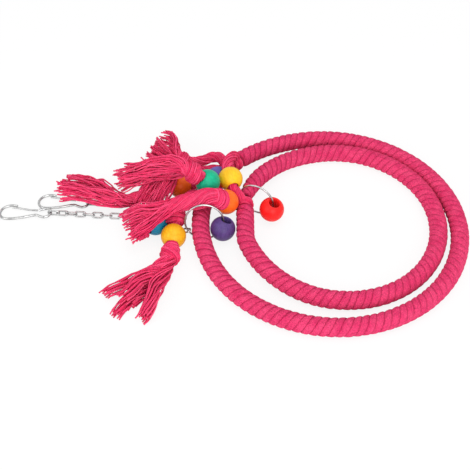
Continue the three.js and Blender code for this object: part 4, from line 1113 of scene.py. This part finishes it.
# each hook's eye, its lengthwise and crosswise directions, in the row frame in mm
hookPlaces = {
    "first": ((-190.4061, 22.2147, 3.5), (0.9974, -0.0563, 0.0454), (0.0564, 0.9984, 0.0)),
    "second": ((-152.8566, 36.3821, 3.5), (0.9955, -0.0837, 0.0454), (0.0837, 0.9965, 0.0)),
}
hookOutline = [
    (-29.5, 8.9), (-33, 9.6), (-38, 9.2), (-43, 6.4), (-45.6, 1), (-44.4, -5), (-40.5, -8.4), (-34, -9), (-22, -7.2),
    (-11.5, -4.2), (-7.5, -3.6), (-3.5, -5.2), (0.5, -6.4), (4.6, -5), (6.8, -1.2), (6.2, 3), (2.6, 5.4), (-2, 4.8),
    (-6, 3.4),
]
gateOutline = [(-7.1, 3), (-14, 3.4), (-22, 4.8), (-29, 6.2), (-34.5, 6.9)]
for label, (eye, lengthwise, crosswise) in hookPlaces.items():
    for piece, outline, radius in (("hook", hookOutline, "hookRadius"), ("hook_gate", gateOutline, "gateRadius")):
        shape = smoothRoute([(x, y, 0.0) for x, y in outline], wireSizes["hookStep"])[0]
        points = np.array(eye) + np.outer(shape[:, 0], lengthwise) + np.outer(shape[:, 1], crosswise)
        makeWire(f"{label}_{piece}", points * mm, wireSizes[radius], False)
print("hooks bent")

# the core wires show between the hitches, in their CAD shape
for name in ("outer_ring_core_wire", "inner_ring_core_wire"):
    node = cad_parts[name]
    node.data.materials.clear()
    node.data.materials.append(coreWire)


# Floor, light and background

stageSizes = {
    "floor": 6.0,          # metres across
    "floorBelow": 0.0003,  # metres under the part
    "shadowShare": 0.14,   # how much of the lit paper shows, the rest is plain white
    "worldLight": 0.74,
    "paper": "#F3F3F3",
    "white": "#FFFFFF",
}


# 1 for what the camera sees straight, in a reflection or through glass
def seenByCamera(tree):
    path = addNode(tree, "ShaderNodeLightPath").outputs
    seen = path["Is Camera Ray"]
    for ray in ("Is Glossy Ray", "Is Transmission Ray"):
        seen = addNode(tree, "ShaderNodeMath", {0: seen, 1: path[ray]}, operation="MAXIMUM")
    return seen


# smooth white paper: even, no shine
def makePaper(s):
    material, tree = newMaterial("matWhitePaper")
    share = addNode(tree, "ShaderNodeMath", {0: seenByCamera(tree), 1: 1 - s["shadowShare"]}, operation="MULTIPLY")
    lit = addNode(tree, "ShaderNodeBsdfDiffuse", {"Color": hexColor(s["paper"])})
    glow = addNode(tree, "ShaderNodeEmission", {"Color": hexColor(s["white"]), "Strength": 1.0})
    mixed = addNode(tree, "ShaderNodeMixShader", {0: share, 1: lit, 2: glow})
    addNode(tree, "ShaderNodeOutputMaterial", {"Surface": mixed})
    return material


def makeFloor(s):
    half = s["floor"] / 2
    mesh = bpy.data.meshes.new("paleFloor")
    corners = [(-half, -half), (half, -half), (half, half), (-half, half)]
    mesh.from_pydata([(x, y, -s["floorBelow"]) for x, y in corners], [], [(0, 1, 2, 3)])
    mesh.materials.append(makePaper(s))
    floor = bpy.data.objects.new("paleFloor", mesh)
    bpy.context.collection.objects.link(floor)


def makeWorld(s):
    world = bpy.data.worlds.new("softStudio")
    bpy.context.scene.world = world
    world.use_nodes = True
    tree = world.node_tree
    tree.nodes.clear()
    strength = addNode(tree, "ShaderNodeMapRange", {
        "Value": seenByCamera(tree), "From Min": 0.0, "From Max": 1.0, "To Min": s["worldLight"], "To Max": 1.0,
    })
    light = addNode(tree, "ShaderNodeBackground", {"Color": hexColor(s["white"]), "Strength": strength})
    addNode(tree, "ShaderNodeOutputWorld", {"Surface": light})


# place in metres, size in metres, power in watts; all aim at the part's middle
lamps = {
    "topSoftbox": ((0.2, -0.3, 1.5), 1.1, 7.6),
    "leftSoftbox": ((-1.3, -0.8, 0.9), 0.8, 6.0),
    "frontFill": ((0.3, -1.6, 0.75), 1.0, 13.0),
}


def makeLamps(lamps):
    for name, (place, size, power) in lamps.items():
        data = bpy.data.lights.new(name, "AREA")
        data.energy = power
        data.size = size
        lamp = bpy.data.objects.new(name, data)
        lamp.location = place
        lamp.rotation_euler = (-Vector(place)).to_track_quat("-Z", "Y").to_euler()
        bpy.context.collection.objects.link(lamp)


makeFloor(stageSizes)
makeWorld(stageSizes)
makeLamps(lamps)
bpy.context.scene.view_settings.view_transform = "Standard"
print("stage lit")
